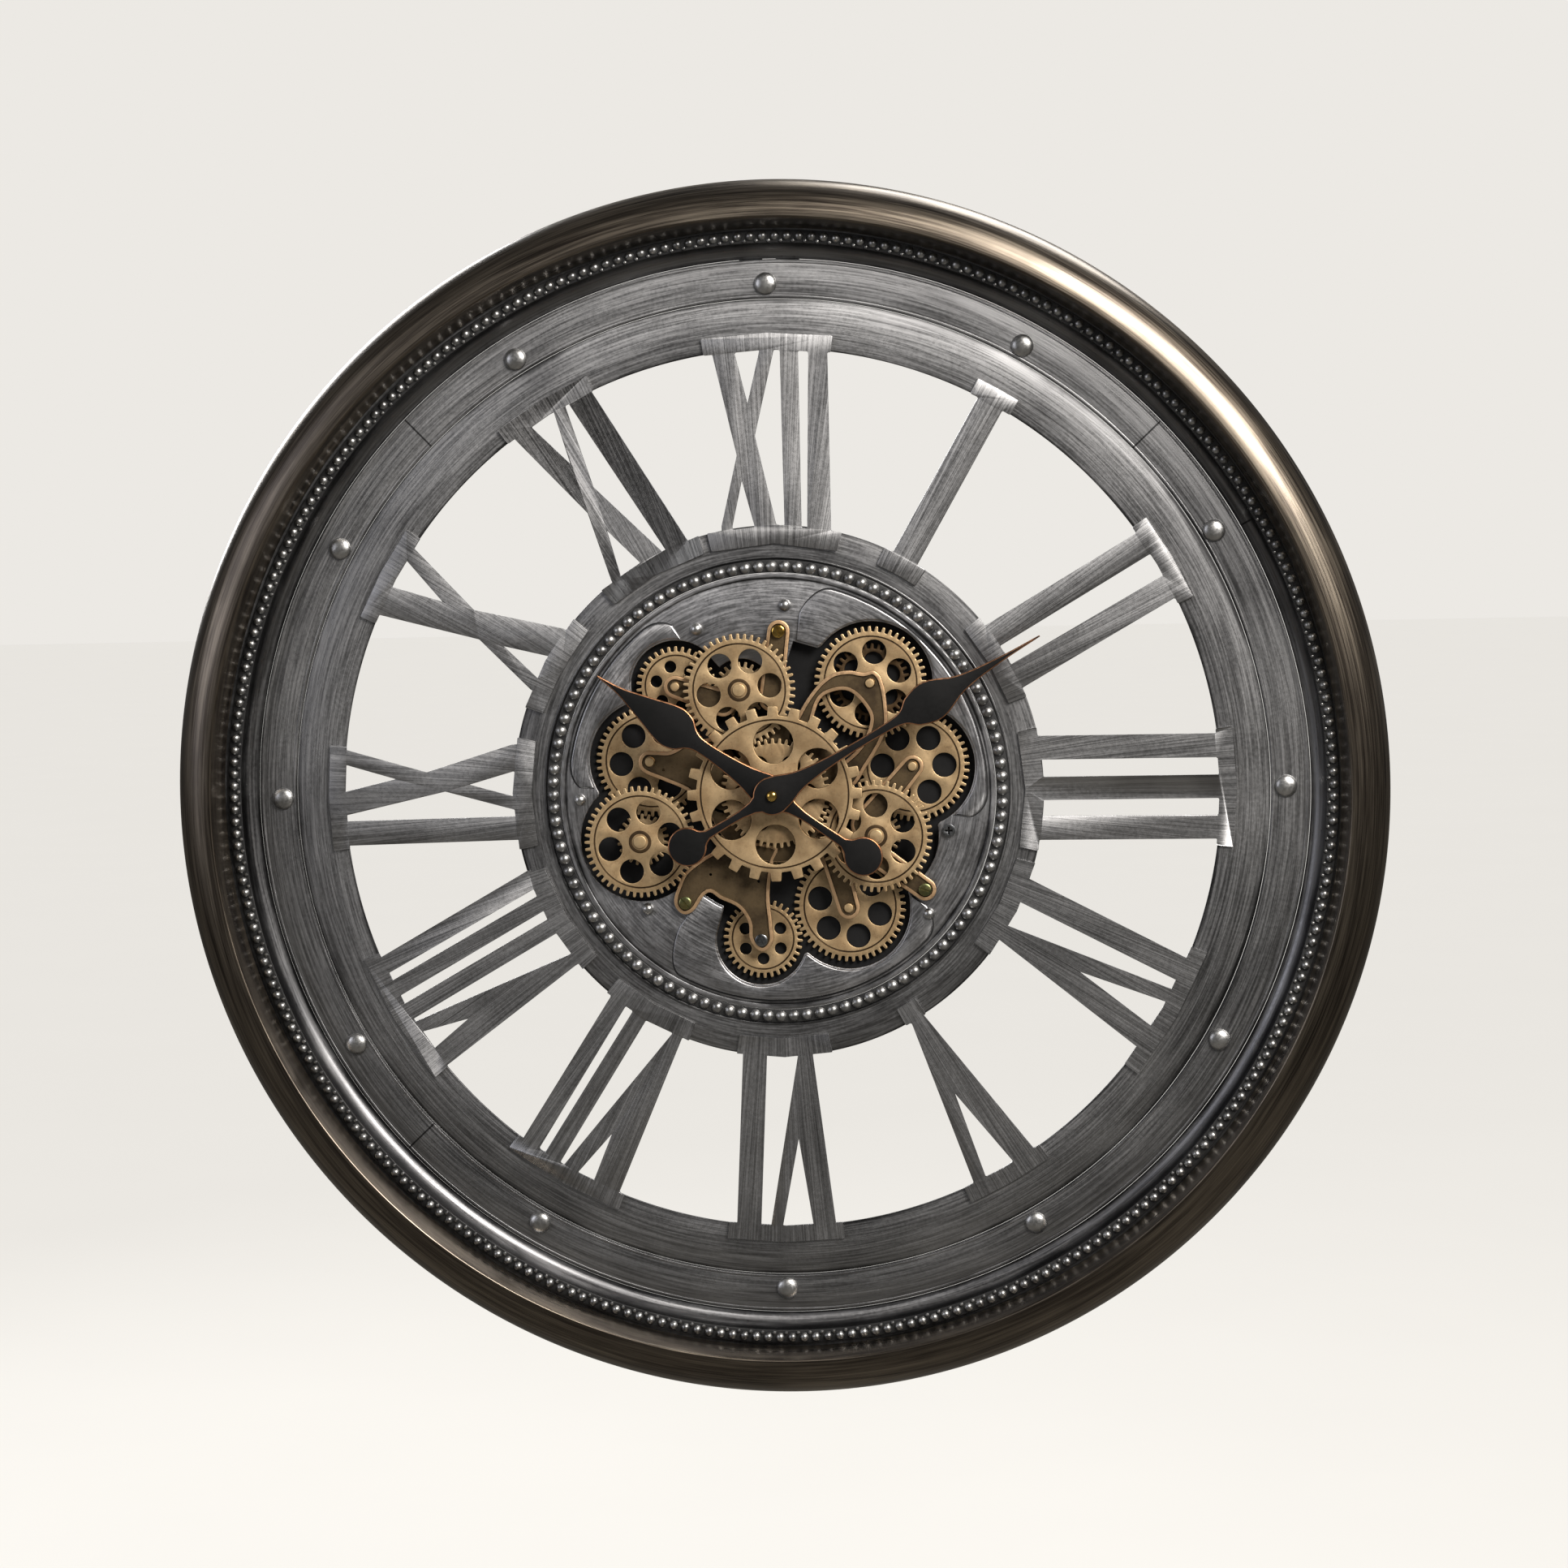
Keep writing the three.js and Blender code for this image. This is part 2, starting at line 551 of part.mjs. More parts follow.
// The bridge holds the front bearing of each arbor. Its three tabs stand on the medallion.
function spiderBridge() {
  const back = bridgeBack;
  const front = bridgeFront;
  const wide = new Set([left, smallLower]);
  const arms = outerWheels
    .filter((wheel) => wheel !== topRight)
    .map((wheel) => arm([0, 0], wheel.at, wide.has(wheel) ? 22 : 14, BRIDGE_ARM, back, front));
  const tabs = bridgeTabs.map((tab) => arm([0, 0], tab.at, 14, BRIDGE_ARM, back, front));
  const feet = bridgeTabs.map((tab) => post(tab.at, TAB_RADIUS, FACE_DEPTH + FIT_GAP, front, 12));
  const scale = centreCut / 84;
  const archStart = facePoint(17, 74 * scale);
  const archTop = facePoint(27, 90 * scale);
  const archEnd = facePoint(68, 62 * scale);
  const arch = [
    arm([0, 0], archStart, 14, 6, back, front),
    arm(archStart, archTop, 6, 6, back, front),
    arm(archTop, topRight.at, 6, BRIDGE_ARM, back, front),
    arm(topRight.at, archEnd, BRIDGE_ARM, 6, back, front),
    arm(archEnd, [0, 0], 6, 14, back, front),
  ];
  const bearings = outerWheels.map((wheel) => post(wheel.at, bearingRadius, back - 1, front + 1));
  const screwHoles = bridgeTabs.map((tab) => post(tab.at, SCREW_RADIUS + 0.5, FACE_DEPTH, front + 1, 8));
  const centreHole = disc(CENTRE_TUBE_RADIUS + 1.5, back - 1, front + 1, 16);
  return union([disc(46 * scale, back, front, 20), ...arms, ...tabs, ...feet, ...arch]).subtract(
    union([...bearings, ...screwHoles, centreHole]),
  );
}

function addMedallion() {
  place("hub_ring", ring(hubInner, hubOuter, faceBack, FACE_DEPTH), gunmetal);
  const beadBack = FACE_DEPTH + FIT_GAP;
  const trimInner = medallionRadius + FIT_GAP;
  const trimOuter = trimInner + BEAD_TRIM_WIDTH;
  place("inner_bead_trim", ring(trimInner, trimOuter, beadBack, beadBack + BEAD_TRIM_HEIGHT), gunmetal);
  place("medallion_plate", medallionPlate(), gunmetal);
  place("gear_pan", gearPan(), blackSteel);
  place("spider_bridge", spiderBridge(), darkBrass);
  for (const tab of bridgeTabs) {
    const shank = post(tab.at, SCREW_RADIUS, faceBack, bridgeFront + 1, 8);
    const head = post(tab.at, SCREW_HEAD_RADIUS, bridgeFront + FIT_GAP, bridgeFront + 2.2, 12);
    place(`bridge_screw_${tab.name}`, shank.add(head), polishedBrass);
  }
}

// ---------------------------------------------------------------- numerals

// Each numeral is drawn in millimetres across, and from 0 at its foot to 1 at its top. Bars are
// [foot left, foot right, top left, top right]. A V is its top corners, the notch between its
// strokes and its foot. An X adds the waist on each side and the notch below.
const NUMERALS = [
  { serifs: [30, 30], bars: [[-9, 9, -9, 9]] },
  { serifs: [59, 58.5], bars: [[-23.5, -7, -24.5, -8.2], [7, 24, 8.2, 24.5]] },
  { serifs: [78, 79.5], bars: [[-35, -19.4, -35, -19.4], [-8, 7.3, -8, 7.3], [17.7, 33.5, 18.5, 34]] },
  {
    serifs: [91, 65.7, -8.7],
    bars: [[-31.6, -15.2, -36.9, -21]],
    v: { top: [-14, -4.9, 14.3, 31.1], notch: [5.8, 0.48], foot: [2.4, 13.3] },
  },
  {
    serifs: [59, 15, -1.5],
    bars: [],
    v: { top: [-24.7, -8.5, 13.1, 22], notch: [1.7, 0.48], foot: [-7.4, 2] },
  },
  {
    serifs: [78, 62, -1.6],
    bars: [[10, 26, 17, 33.2]],
    v: { top: [-33.9, -18.9, 2.1, 10], notch: [-9.9, 0.48], foot: [-20.5, -10.5] },
  },
  {
    serifs: [84, 62, 3],
    bars: [[2.7, 13.4, 7.8, 20], [19.3, 31.2, 24.8, 37.7]],
    v: { top: [-37.4, -18.5, -6, 4.7], notch: [-13.8, 0.69], foot: [-24, -16.6] },
  },
  {
    serifs: [91.5, 72, 2.2],
    bars: [[-5.2, 5.9, -5.2, 6.7], [12, 22.8, 12.8, 24.4], [27.8, 40.7, 29.9, 41.8]],
    v: { top: [-44.2, -29.9, -15.2, -7.3], notch: [-24, 0.71], foot: [-30.3, -21.8] },
  },
  {
    serifs: [70, 73, 1.5],
    bars: [[-29.4, -13.7, -32.3, -15.9]],
    x: {
      top: [-11.9, 4, 22.9, 32.9],
      notches: [12.3, 7.8],
      waist: [3.5, 16.5],
      foot: [-9.1, -0.4, 16.3, 34.4],
    },
  },
  {
    serifs: [65.4, 65.7, 1.5],
    bars: [],
    x: {
      top: [-26.4, -5.6, 15.4, 24.9],
      notches: [2.5, -3.6],
      waist: [-7.5, 7.8],
      foot: [-20, -11.2, 5.3, 26.2],
    },
  },
  {
    serifs: [68, 72, 6.6],
    bars: [[20.4, 36, 14.9, 32]],
    x: {
      top: [-28.4, -14.6, 4, 12.5],
      notches: [-4.6, -6.7],
      waist: [-11.6, 0.5],
      foot: [-21.3, -14.4, 1.3, 17.2],
    },
  },
  {
    serifs: [85.6, 87, 2.3],
    bars: [[9.3, 20.4, 8.5, 20.4], [24.1, 39.8, 27.5, 39.7]],
    x: {
      top: [-36.6, -22, -4.6, 4.6],
      notches: [-13.5, -18.4],
      waist: [-21.3, -9.2],
      foot: [-32.4, -25.3, -10.7, 3.7],
    },
  },
];
const X_NOTCHES = [0.69, 0.26]; // heights of an X's upper and lower notch
const X_WAIST = [0.4, 0.51]; // heights of its left and right waist

// The strokes of a numeral as outlines, standing on radius "foot" and reaching radius "top".
function strokes({ bars, v, x }, foot, top) {
  const height = (share) => foot + share * (top - foot);
  const over = foot - INNER_SERIF_WIDTH / 2;
  const under = top + OUTER_SERIF_WIDTH / 2;
  const outlines = bars.map(([footLeft, footRight, headLeft, headRight]) => [
    [footLeft, over], [footRight, over], [headRight, under], [headLeft, under],
  ]);
  if (v) {
    const [a, b, c, d] = v.top;
    outlines.push([
      [v.foot[0], over], [v.foot[1], over], [v.foot[1], foot], [d, top], [d, under], [c, under], [c, top],
      [v.notch[0], height(v.notch[1])], [b, top], [b, under], [a, under], [a, top], [v.foot[0], foot],
    ]);
  }
  if (x) {
    const [a, b, c, d] = x.top;
    const [e, f, g, h] = x.foot;
    outlines.push([
      [e, over], [f, over], [f, foot], [x.notches[1], height(X_NOTCHES[1])], [g, foot], [g, over],
      [h, over], [h, foot], [x.waist[1], height(X_WAIST[1])], [d, top], [d, under], [c, under],
      [c, top], [x.notches[0], height(X_NOTCHES[0])], [b, top], [b, under], [a, under], [a, top],
      [x.waist[0], height(X_WAIST[0])], [e, foot],
    ]);
  }
  return outlines;
}

// A serif band: a short arc of a ring, as long as stated, about its own middle.
function serif(length, shift, inner, outer) {
  const half = length / 2;
  const middle = (inner + outer) / 2;
  const steps = 2;
  const turn = (radius, share) => {
    const angle = (shift + share * half) / middle;
    return [radius * Math.sin(angle), radius * Math.cos(angle)];
  };
  const shares = Array.from({ length: steps + 1 }, (_, i) => (2 * i) / steps - 1);
  const low = shares.map((share) => turn(inner, share));
  const high = shares.map((share) => turn(outer, share)).reverse();
  return [...low, ...high];
}

function addNumerals() {
  const back = FACE_DEPTH + FIT_GAP;
  const front = back + NUMERAL_THICKNESS;
  NUMERALS.forEach((numeral, i) => {
    const [outerLength, innerLength, shift = 0] = numeral.serifs;
    const outlines = [
      ...strokes(numeral, hubOuter, chapterInner),
      serif(outerLength, 0, chapterInner - 0.5, chapterInner + OUTER_SERIF_WIDTH),
      serif(innerLength, shift, hubOuter - INNER_SERIF_WIDTH, hubOuter + 0.5),
    ];
    const whole = union(outlines.map((outline) => plate(polygon(outline), back, front)));
    place(`numeral_${i + 1}`, whole.rotate([0, 30 * (i + 1), 0]), gunmetal);
  });
}

// ---------------------------------------------------------------- clock movement and gear motor

const motorShaftBack = 9;

// A channel, open to the wall, for a cell that lies along x or along y.
function cellBay([x, y], alongX, front) {
  const length = CELL_LENGTH + 2 * CELL_CLEARANCE;
  const width = 2 * (CELL_RADIUS + CELL_CLEARANCE);
  const size = alongX ? [length, width] : [width, length];
  const bay = new THREE.BoxGeometry(size[0], front + 1, size[1]);
  bay.translate(x, (1 - front) / 2, y);
  return solid(bay);
}

function cell([x, y], alongX) {
  const body = new THREE.CylinderGeometry(CELL_RADIUS, CELL_RADIUS, CELL_LENGTH, 12);
  if (alongX) body.rotateZ(Math.PI / 2);
  else body.rotateX(Math.PI / 2);
  body.translate(x, -cellDepth, y);
  return solid(body);
}

function block([near, far], [bottom, top], back, front) {
  return plate(polygon([[near, bottom], [far, bottom], [far, top], [near, top]]), back, front);
}

function addMovement() {
  const half = MOVEMENT_SIDE / 2;
  const cellAt = [0, -half + CELL_RADIUS + CELL_CLEARANCE + 2];
  const knobAt = [0, half - 13];
  const bushing = disc(BUSHING_RADIUS, movementFront - 1, panFront + 2.5, 12);
  const bore = disc(BUSHING_BORE, movementFront - 2, panFront + 4, 12);
  const knobPocket = post(knobAt, 7, -1, 3.2, 12).add(post(knobAt, 2.2, 1, 6, 8));
  const body = block([-half, half], [-half, half], 0, movementFront)
    .add(bushing)
    .subtract(union([bore, knobPocket, cellBay(cellAt, true, bayFront)]));
  place("quartz_movement", body, blackPlastic);
  place("clock_cell", cell(cellAt, true), cellJacket);
  place("set_knob", post(knobAt, 5.2, 0.5, 2.7, 12).add(post(knobAt, 1.4, 2, 5.4, 8)), blackPlastic);
}

// The gear motor sits behind the pan and turns the arbor of the lower left wheel.
function addMotor() {
  const [x, y] = lowerLeft.at;
  const cellAt = [x - 16, y];
  const shaftHole = post(lowerLeft.at, bearingRadius, motorShaftBack - 1, movementFront + 1, 10);
  const body = block([x - 27, x + 27], [y - 30, y + 30], 0.5, movementFront).subtract(
    union([shaftHole, cellBay(cellAt, false, bayFront)]),
  );
  place("gear_motor", body, blackPlastic);
  place("motor_cell", cell(cellAt, false), cellJacket);
}

// ---------------------------------------------------------------- hands

// One side of a spade hand as [half width, distance from the axis] pairs from the tail to the
// tip; the other side mirrors it.
const MINUTE_SIDE = [
  [2.2, -56], [2.2, -10], [13, -4], [13, 5], [6.5, 20], [3, 45], [2.8, 92], [5, 101], [11, 108], [14, 122.8],
  [6.5, 140], [2, 170],
];
const HOUR_SIDE = [
  [2.4, -62], [2.4, -10], [12.5, -4], [12.5, 5], [7.5, 20], [5, 45], [5.1, 62], [8, 67], [14.5, 80],
  [12, 92], [4.5, 118],
];

// A hand that points up: a round counterweight, a tapering tail, a hub and a spade.
function hand(side, length, tail, back, front) {
  const oneEdge = [...side, [0.6, length]];
  const otherEdge = oneEdge.map(([x, y]) => [-x, y]).reverse();
  const blade = plate(polygon([...oneEdge, ...otherEdge]), back, front);
  return blade.add(post([0, -tail], COUNTERWEIGHT_RADIUS, back, front, 14));
}

function addHands() {
  const tubeBack = movementFront - 1;
  const hourFront = hourBack + HAND_THICKNESS;
  const minuteFront = minuteBack + HAND_THICKNESS;
  const minute = hand(MINUTE_SIDE, MINUTE_HAND_LENGTH, MINUTE_TAIL, minuteBack, minuteFront)
    .rotate([0, MINUTE_ANGLE, 0])
    .add(disc(MINUTE_ARBOR_RADIUS, tubeBack, minuteFront, 10));
  const hour = hand(HOUR_SIDE, HOUR_HAND_LENGTH, HOUR_TAIL, hourBack, hourFront)
    .rotate([0, HOUR_ANGLE, 0])
    .add(disc(HOUR_TUBE_RADIUS, tubeBack, hourFront, 12))
    .subtract(disc(HOUR_TUBE_BORE, tubeBack - 1, hourFront + 1, 12));
  place("minute_hand", minute, blackSteel);
  place("hour_hand", hour, blackSteel);
  const dome = [[0, nutBack], ...arc([0, nutBack], [3.6, NUT_HEIGHT], 0, 90, 3)];
  place("hand_nut", turned(dome, 12), polishedBrass);
}

addRings();
addRivets();
addHanger();
addWheels();
addCentreTrain();
addMedallion();
addNumerals();
addMovement();
addMotor();
addHands();

export default group;
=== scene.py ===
# %% [markdown]
# # A skeleton wall clock with turning gears
# The clock is 80 cm across: a rolled bronze rim, riveted gunmetal rings, cut-out Roman numerals
# and a medallion of brass gears. The frame holds every part at its real size and place, and this
# lesson builds the fine surface of each part round it, piece by piece, and then its finish.

# %% Load the frame
import json
import math

import bmesh
import bpy
from mathutils import Matrix, Vector
from mathutils.geometry import interpolate_bezier


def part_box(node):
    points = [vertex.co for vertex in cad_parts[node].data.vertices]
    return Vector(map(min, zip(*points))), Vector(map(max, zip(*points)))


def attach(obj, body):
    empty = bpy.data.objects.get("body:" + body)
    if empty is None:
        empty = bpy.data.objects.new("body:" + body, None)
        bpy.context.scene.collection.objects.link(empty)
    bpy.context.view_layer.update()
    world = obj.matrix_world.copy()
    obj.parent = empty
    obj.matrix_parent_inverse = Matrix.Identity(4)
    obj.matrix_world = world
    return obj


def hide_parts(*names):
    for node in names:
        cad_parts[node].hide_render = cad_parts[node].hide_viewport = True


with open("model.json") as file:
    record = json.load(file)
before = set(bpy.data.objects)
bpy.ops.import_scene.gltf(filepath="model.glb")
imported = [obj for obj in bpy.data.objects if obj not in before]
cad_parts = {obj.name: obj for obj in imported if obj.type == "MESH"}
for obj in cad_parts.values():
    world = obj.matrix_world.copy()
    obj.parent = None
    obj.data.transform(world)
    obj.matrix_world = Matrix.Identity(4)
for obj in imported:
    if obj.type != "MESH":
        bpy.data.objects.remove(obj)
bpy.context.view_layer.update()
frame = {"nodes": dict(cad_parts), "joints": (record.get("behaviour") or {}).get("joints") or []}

# %% [markdown]
# ## Camera
# The camera stands a little to the right of the clock and a little above it, about two metres
# away, and is rolled by one degree. It is placed by two angles about a target near the centre.

# %% Camera
AZIMUTH = math.radians(5.947)
ELEVATION = math.radians(4.713)
ROLL = math.radians(-1.251)
DISTANCE = 2.145
TARGET = Vector((0.0052, -0.030, 0.0056))
FIELD_OF_VIEW = math.radians(27.2)

away = Vector((
    math.sin(AZIMUTH) * math.cos(ELEVATION),
    -math.cos(AZIMUTH) * math.cos(ELEVATION),
    math.sin(ELEVATION),
))
camera_data = bpy.data.cameras.new("camera")
camera_data.angle = FIELD_OF_VIEW
camera_data.clip_start = 0.05
camera = bpy.data.objects.new("camera", camera_data)
camera.matrix_world = (
    Matrix.Translation(TARGET + DISTANCE * away)
    @ away.to_track_quat("Z", "Y").to_matrix().to_4x4()
    @ Matrix.Rotation(ROLL, 4, "Z")
)
bpy.context.scene.collection.objects.link(camera)
bpy.context.scene.camera = camera
print("camera at", [round(value, 3) for value in camera.matrix_world.translation])

# %% [markdown]
# ## Working on the clock's face
# Nearly every part is flat or turned, so the work is done on the clock's face, in millimetres:
# x to the right, y up and z out of the wall. One matrix carries a finished mesh from the face to
# the frame. Sizes come from the frame's own boxes, so each piece lands where its part lies.

# %% Face coordinates
MM = 0.001
TO_FRAME = Matrix.Rotation(math.radians(90), 4, "X") @ Matrix.Scale(MM, 4)
TO_FACE = TO_FRAME.inverted()
CASE = "case"


def face_box(node):
    """The lowest and highest corner of a frame part, in face millimetres."""
    corners = [TO_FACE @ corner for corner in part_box(node)]
    return Vector(map(min, *corners)), Vector(map(max, *corners))


def depths(node):
    """How far a part's back and front stand from the wall."""
    low, high = face_box(node)
    return low.z, high.z


def polar(angle, radius):
    """A face point from a clock angle in degrees, clockwise from twelve, and a radius."""
    turn = math.radians(angle)
    return Vector((radius * math.sin(turn), radius * math.cos(turn)))


def arc(centre, radii, start, end, steps):
    """Points along an ellipse's arc, between two angles in degrees."""
    points = []
    for i in range(steps + 1):
        turn = math.radians(start + (end - start) * i / steps)
        points.append((centre[0] + radii[0] * math.cos(turn), centre[1] + radii[1] * math.sin(turn)))
    return points


AXES = {joint["child"]: TO_FACE @ Vector(joint["pos_m"]) for joint in frame["joints"]}
print("axes:", {body: [round(value, 1) for value in axis.xy] for body, axis in AXES.items()})

# %% [markdown]
# ## From mesh to piece
# A bmesh is the workbench, and a piece is what leaves it. Each piece gets its normals turned
# outwards, moves to the frame, takes its materials, and rides on the body of the part that it
# stands for. Faces that meet at less than the sharp angle are shaded as one smooth surface.

# %% Making a piece
SHARP = math.radians(32)
made_pieces = []


def keep(name, bm, materials, nodes, body=CASE):
    """Turns a bmesh on the face into a finished piece that stands for some frame parts."""
    bmesh.ops.recalc_face_normals(bm, faces=bm.faces)
    bmesh.ops.transform(bm, matrix=TO_FRAME, space=Matrix.Identity(4), verts=bm.verts)
    mesh = bpy.data.meshes.new(name)
    bm.to_mesh(mesh)
    bm.free()
    mesh.shade_smooth()
    mesh.set_sharp_from_angle(angle=SHARP)
    for material in materials:
        mesh.materials.append(material)
    piece = bpy.data.objects.new(name, mesh)
    bpy.context.scene.collection.objects.link(piece)
    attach(piece, body)
    if nodes:
        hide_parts(*nodes)
    made_pieces.append(piece)
    print(f"{name}: {len(mesh.polygons)} faces")
    return piece


# %% [markdown]
# ## The colour and node helpers
# Colours are written as sRGB hex, the way paint and screen tools show them, while a shader works
# in linear light. One function turns the first into the second. A second small function adds any
# node, sets its options and fills or links its inputs, so that a material reads as a recipe.

# %% Colour and node helpers


def linear(colour):
    """An sRGB hex colour as linear RGBA."""
    channels = [int(colour[i:i + 2], 16) / 255 for i in (1, 3, 5)]
    return [c / 12.92 if c <= 0.04045 else ((c + 0.055) / 1.055) ** 2.4 for c in channels] + [1.0]


def add(tree, kind, options=None, inputs=None, output=0):
    """Adds a shader node, sets its options and inputs, and returns one output, if it has any."""
    made = tree.nodes.new("ShaderNode" + kind)
    for key, value in (options or {}).items():
        setattr(made, key, value)
    for key, value in (inputs or {}).items():
        if isinstance(value, bpy.types.NodeSocket):
            tree.links.new(value, made.inputs[key])
        else:
            made.inputs[key].default_value = value
    return made.outputs[output] if made.outputs else None


def start_material(name):
    """An empty material's node tree and the object coordinates of its surface."""
    material = bpy.data.materials.new(name)
    material.use_nodes = True
    tree = material.node_tree
    tree.nodes.clear()
    return material, tree, add(tree, "TexCoord", output=3)


def finish_material(tree, shader):
    add(tree, "OutputMaterial", inputs={"Surface": shader})


def blend_colours(tree, share, first, second):
    """Mixes two colours, hex or linked, by a share from 0 to 1."""
    inputs = {0: share}
    for key, colour in ((6, first), (7, second)):
        inputs[key] = linear(colour) if isinstance(colour, str) else colour
    return add(tree, "Mix", {"data_type": "RGBA"}, inputs, output=2)


def fit(tree, value, low, high, to_low=0.0, to_high=1.0):
    """Maps a value from one range to another, with soft ends."""
    ends = {0: value, 1: low, 2: high, 3: to_low, 4: to_high}
    return add(tree, "MapRange", {"interpolation_type": "SMOOTHSTEP"}, ends)


def calculate(tree, operation, *values):
    return add(tree, "Math", {"operation": operation}, dict(enumerate(values)))


# %% [markdown]
# ## Brushed metal round an axis
# The rings and the rim were brushed on a turntable, so their scratches run round the clock. A
# noise gives such scratches when it changes fast across them and slowly along them. To have no
# seam, the noise doesn't read an angle. It reads the direction from the centre, stretched a
# little, with the distance from the centre, stretched a lot. For the numerals, which were brushed
# from foot to top, the two stretches change places.

# %% Brushed coordinates
SCRATCH_PER_METRE = 900  # a scratch about a millimetre wide, as fine as the render can show
SCRATCH_PER_RADIAN = 7  # and some twenty times longer
GRIT_PER_METRE = 2600


def polar_vector(tree, position, per_radian, per_metre):
    """The vector that a noise reads to run round the clock's axis, and the distance from it."""
    flat = add(tree, "VectorMath", {"operation": "MULTIPLY"}, {0: position, 1: (1, 0, 1)})
    radius = add(tree, "VectorMath", {"operation": "LENGTH"}, {0: flat}, output=1)
    direction = add(tree, "VectorMath", {"operation": "NORMALIZE"}, {0: flat})
    parts = tree.nodes.new("ShaderNodeSeparateXYZ")
    tree.links.new(direction, parts.inputs[0])
    axes = {
        0: calculate(tree, "MULTIPLY", parts.outputs[0], float(per_radian)),
        1: calculate(tree, "MULTIPLY", radius, float(per_metre)),
        2: calculate(tree, "MULTIPLY", parts.outputs[2], float(per_radian)),
    }
    return add(tree, "CombineXYZ", inputs=axes), radius


def noise(tree, vector, scale, detail=3.0, roughness=0.55):
    return add(tree, "TexNoise", inputs={
        "Vector": vector, "Scale": scale, "Detail": detail, "Roughness": roughness,
    })


NOISE_SPREAD = (0.3, 0.7)  # nearly all of a noise's values lie between these two


# %% [markdown]
# ## Gunmetal
# Gunmetal here is sheet steel with a dark plated patina that was brushed back by hand. It shows
# grey streaks along the brushing and cloudy darker patches where the patina stayed. Dark lines of
# painted shade run along its edges, where the next part meets or overhangs it. Metallic is 1, and
# the roughness of about 0.4 spreads the light of the lamp into the broad soft glow that such a
# surface has.

# %% Gunmetal finish
SEAM_WIDTH = 0.9


def seam_line(tree, position, angle, width):
    """A share of 1 on a radial line at a clock angle, fading to 0 at a width in millimetres."""
    turn_angle = math.radians(angle)
    across = (math.cos(turn_angle), 0, -math.sin(turn_angle))
    outwards = (math.sin(turn_angle), 0, math.cos(turn_angle))
    offset = add(tree, "VectorMath", {"operation": "DOT_PRODUCT"}, {0: position, 1: across}, output=1)
    reach = add(tree, "VectorMath", {"operation": "DOT_PRODUCT"}, {0: position, 1: outwards}, output=1)
    line = fit(tree, calculate(tree, "ABSOLUTE", offset), 0.3 * width * MM, width * MM, 1.0, 0.0)
    return calculate(tree, "MULTIPLY", line, calculate(tree, "GREATER_THAN", reach, 0.0))


def gunmetal(name, dark, light, edges=(), along="round", roughness=0.42, cloud_scale=9.0, seams=()):
    """Brushed gunmetal. Edges are pairs of a radius and a width in millimetres along which a dark line
    of painted shade runs, and seams are the clock angles of the joints in a ring."""
    material, tree, position = start_material(name)
    fine = (SCRATCH_PER_RADIAN, SCRATCH_PER_METRE)
    broad = (4, 330)
    if along == "out":
        fine = (330, 14)
        broad = (90, 3)
    scratch_at, radius = polar_vector(tree, position, *fine)
    streak_at = polar_vector(tree, position, *broad)[0]
    scratch = noise(tree, scratch_at, 1.0, 4.0, 0.6)
    streak = noise(tree, streak_at, 1.0, 3.0, 0.5)
    cloud = noise(tree, position, cloud_scale, 4.0, 0.6)
    fleck = noise(tree, position, GRIT_PER_METRE / 6, 2.0)
    fine_tone = fit(tree, scratch, *NOISE_SPREAD, -0.16, 0.16)
    broad_tone = fit(tree, streak, *NOISE_SPREAD, 0.36, 0.64)
    tone = calculate(tree, "ADD", fine_tone, broad_tone)
    tone = calculate(tree, "ADD", tone, fit(tree, cloud, 0.35, 0.65, -0.2, 0.1))
    colour = blend_colours(tree, tone, dark, light)
    # Painted shade: near-black lines along the given edges, joined with the dark seams at the ring's joints.
    painted_edge_shade_and_seams = None
    for edge, width in edges:
        offset = calculate(tree, "ABSOLUTE", calculate(tree, "SUBTRACT", radius, edge * MM))
        sway = fit(tree, cloud, *NOISE_SPREAD, -0.4 * width * MM, 0.4 * width * MM)
        wobble = calculate(tree, "ADD", offset, sway)
        near = fit(tree, wobble, 0.0, width * MM, 1.0, 0.0)
        painted_edge_shade_and_seams = near if painted_edge_shade_and_seams is None else calculate(tree, "MAXIMUM", painted_edge_shade_and_seams, near)
    for angle in seams:
        line = seam_line(tree, position, angle, SEAM_WIDTH)
        painted_edge_shade_and_seams = line if painted_edge_shade_and_seams is None else calculate(tree, "MAXIMUM", painted_edge_shade_and_seams, line)
    if painted_edge_shade_and_seams is not None:
        colour = blend_colours(tree, calculate(tree, "MULTIPLY", painted_edge_shade_and_seams, 0.85), colour, "#1b1b1c")
    fine_rough = fit(tree, scratch, *NOISE_SPREAD, -0.07, 0.09)
    fleck_rough = fit(tree, fleck, *NOISE_SPREAD, roughness - 0.03, roughness + 0.05)
    rough = calculate(tree, "ADD", fine_rough, fleck_rough)
    bump = add(tree, "Bump", inputs={"Strength": 0.35, "Distance": 0.00012, "Height": scratch})
    finish_material(tree, add(tree, "BsdfPrincipled", inputs={
        "Base Color": colour, "Metallic": 1.0, "Roughness": rough, "Normal": bump,
        "Anisotropic": 0.45,
    }))
    return material


# %% [markdown]
# ## Antique bronze
# The rim is rolled steel with an antique bronze lacquer over it: warm dark brown with olive and
# beige where it is worn thin, fine brushing round it, and a satin shine from the lacquer.

# %% Bronze finish


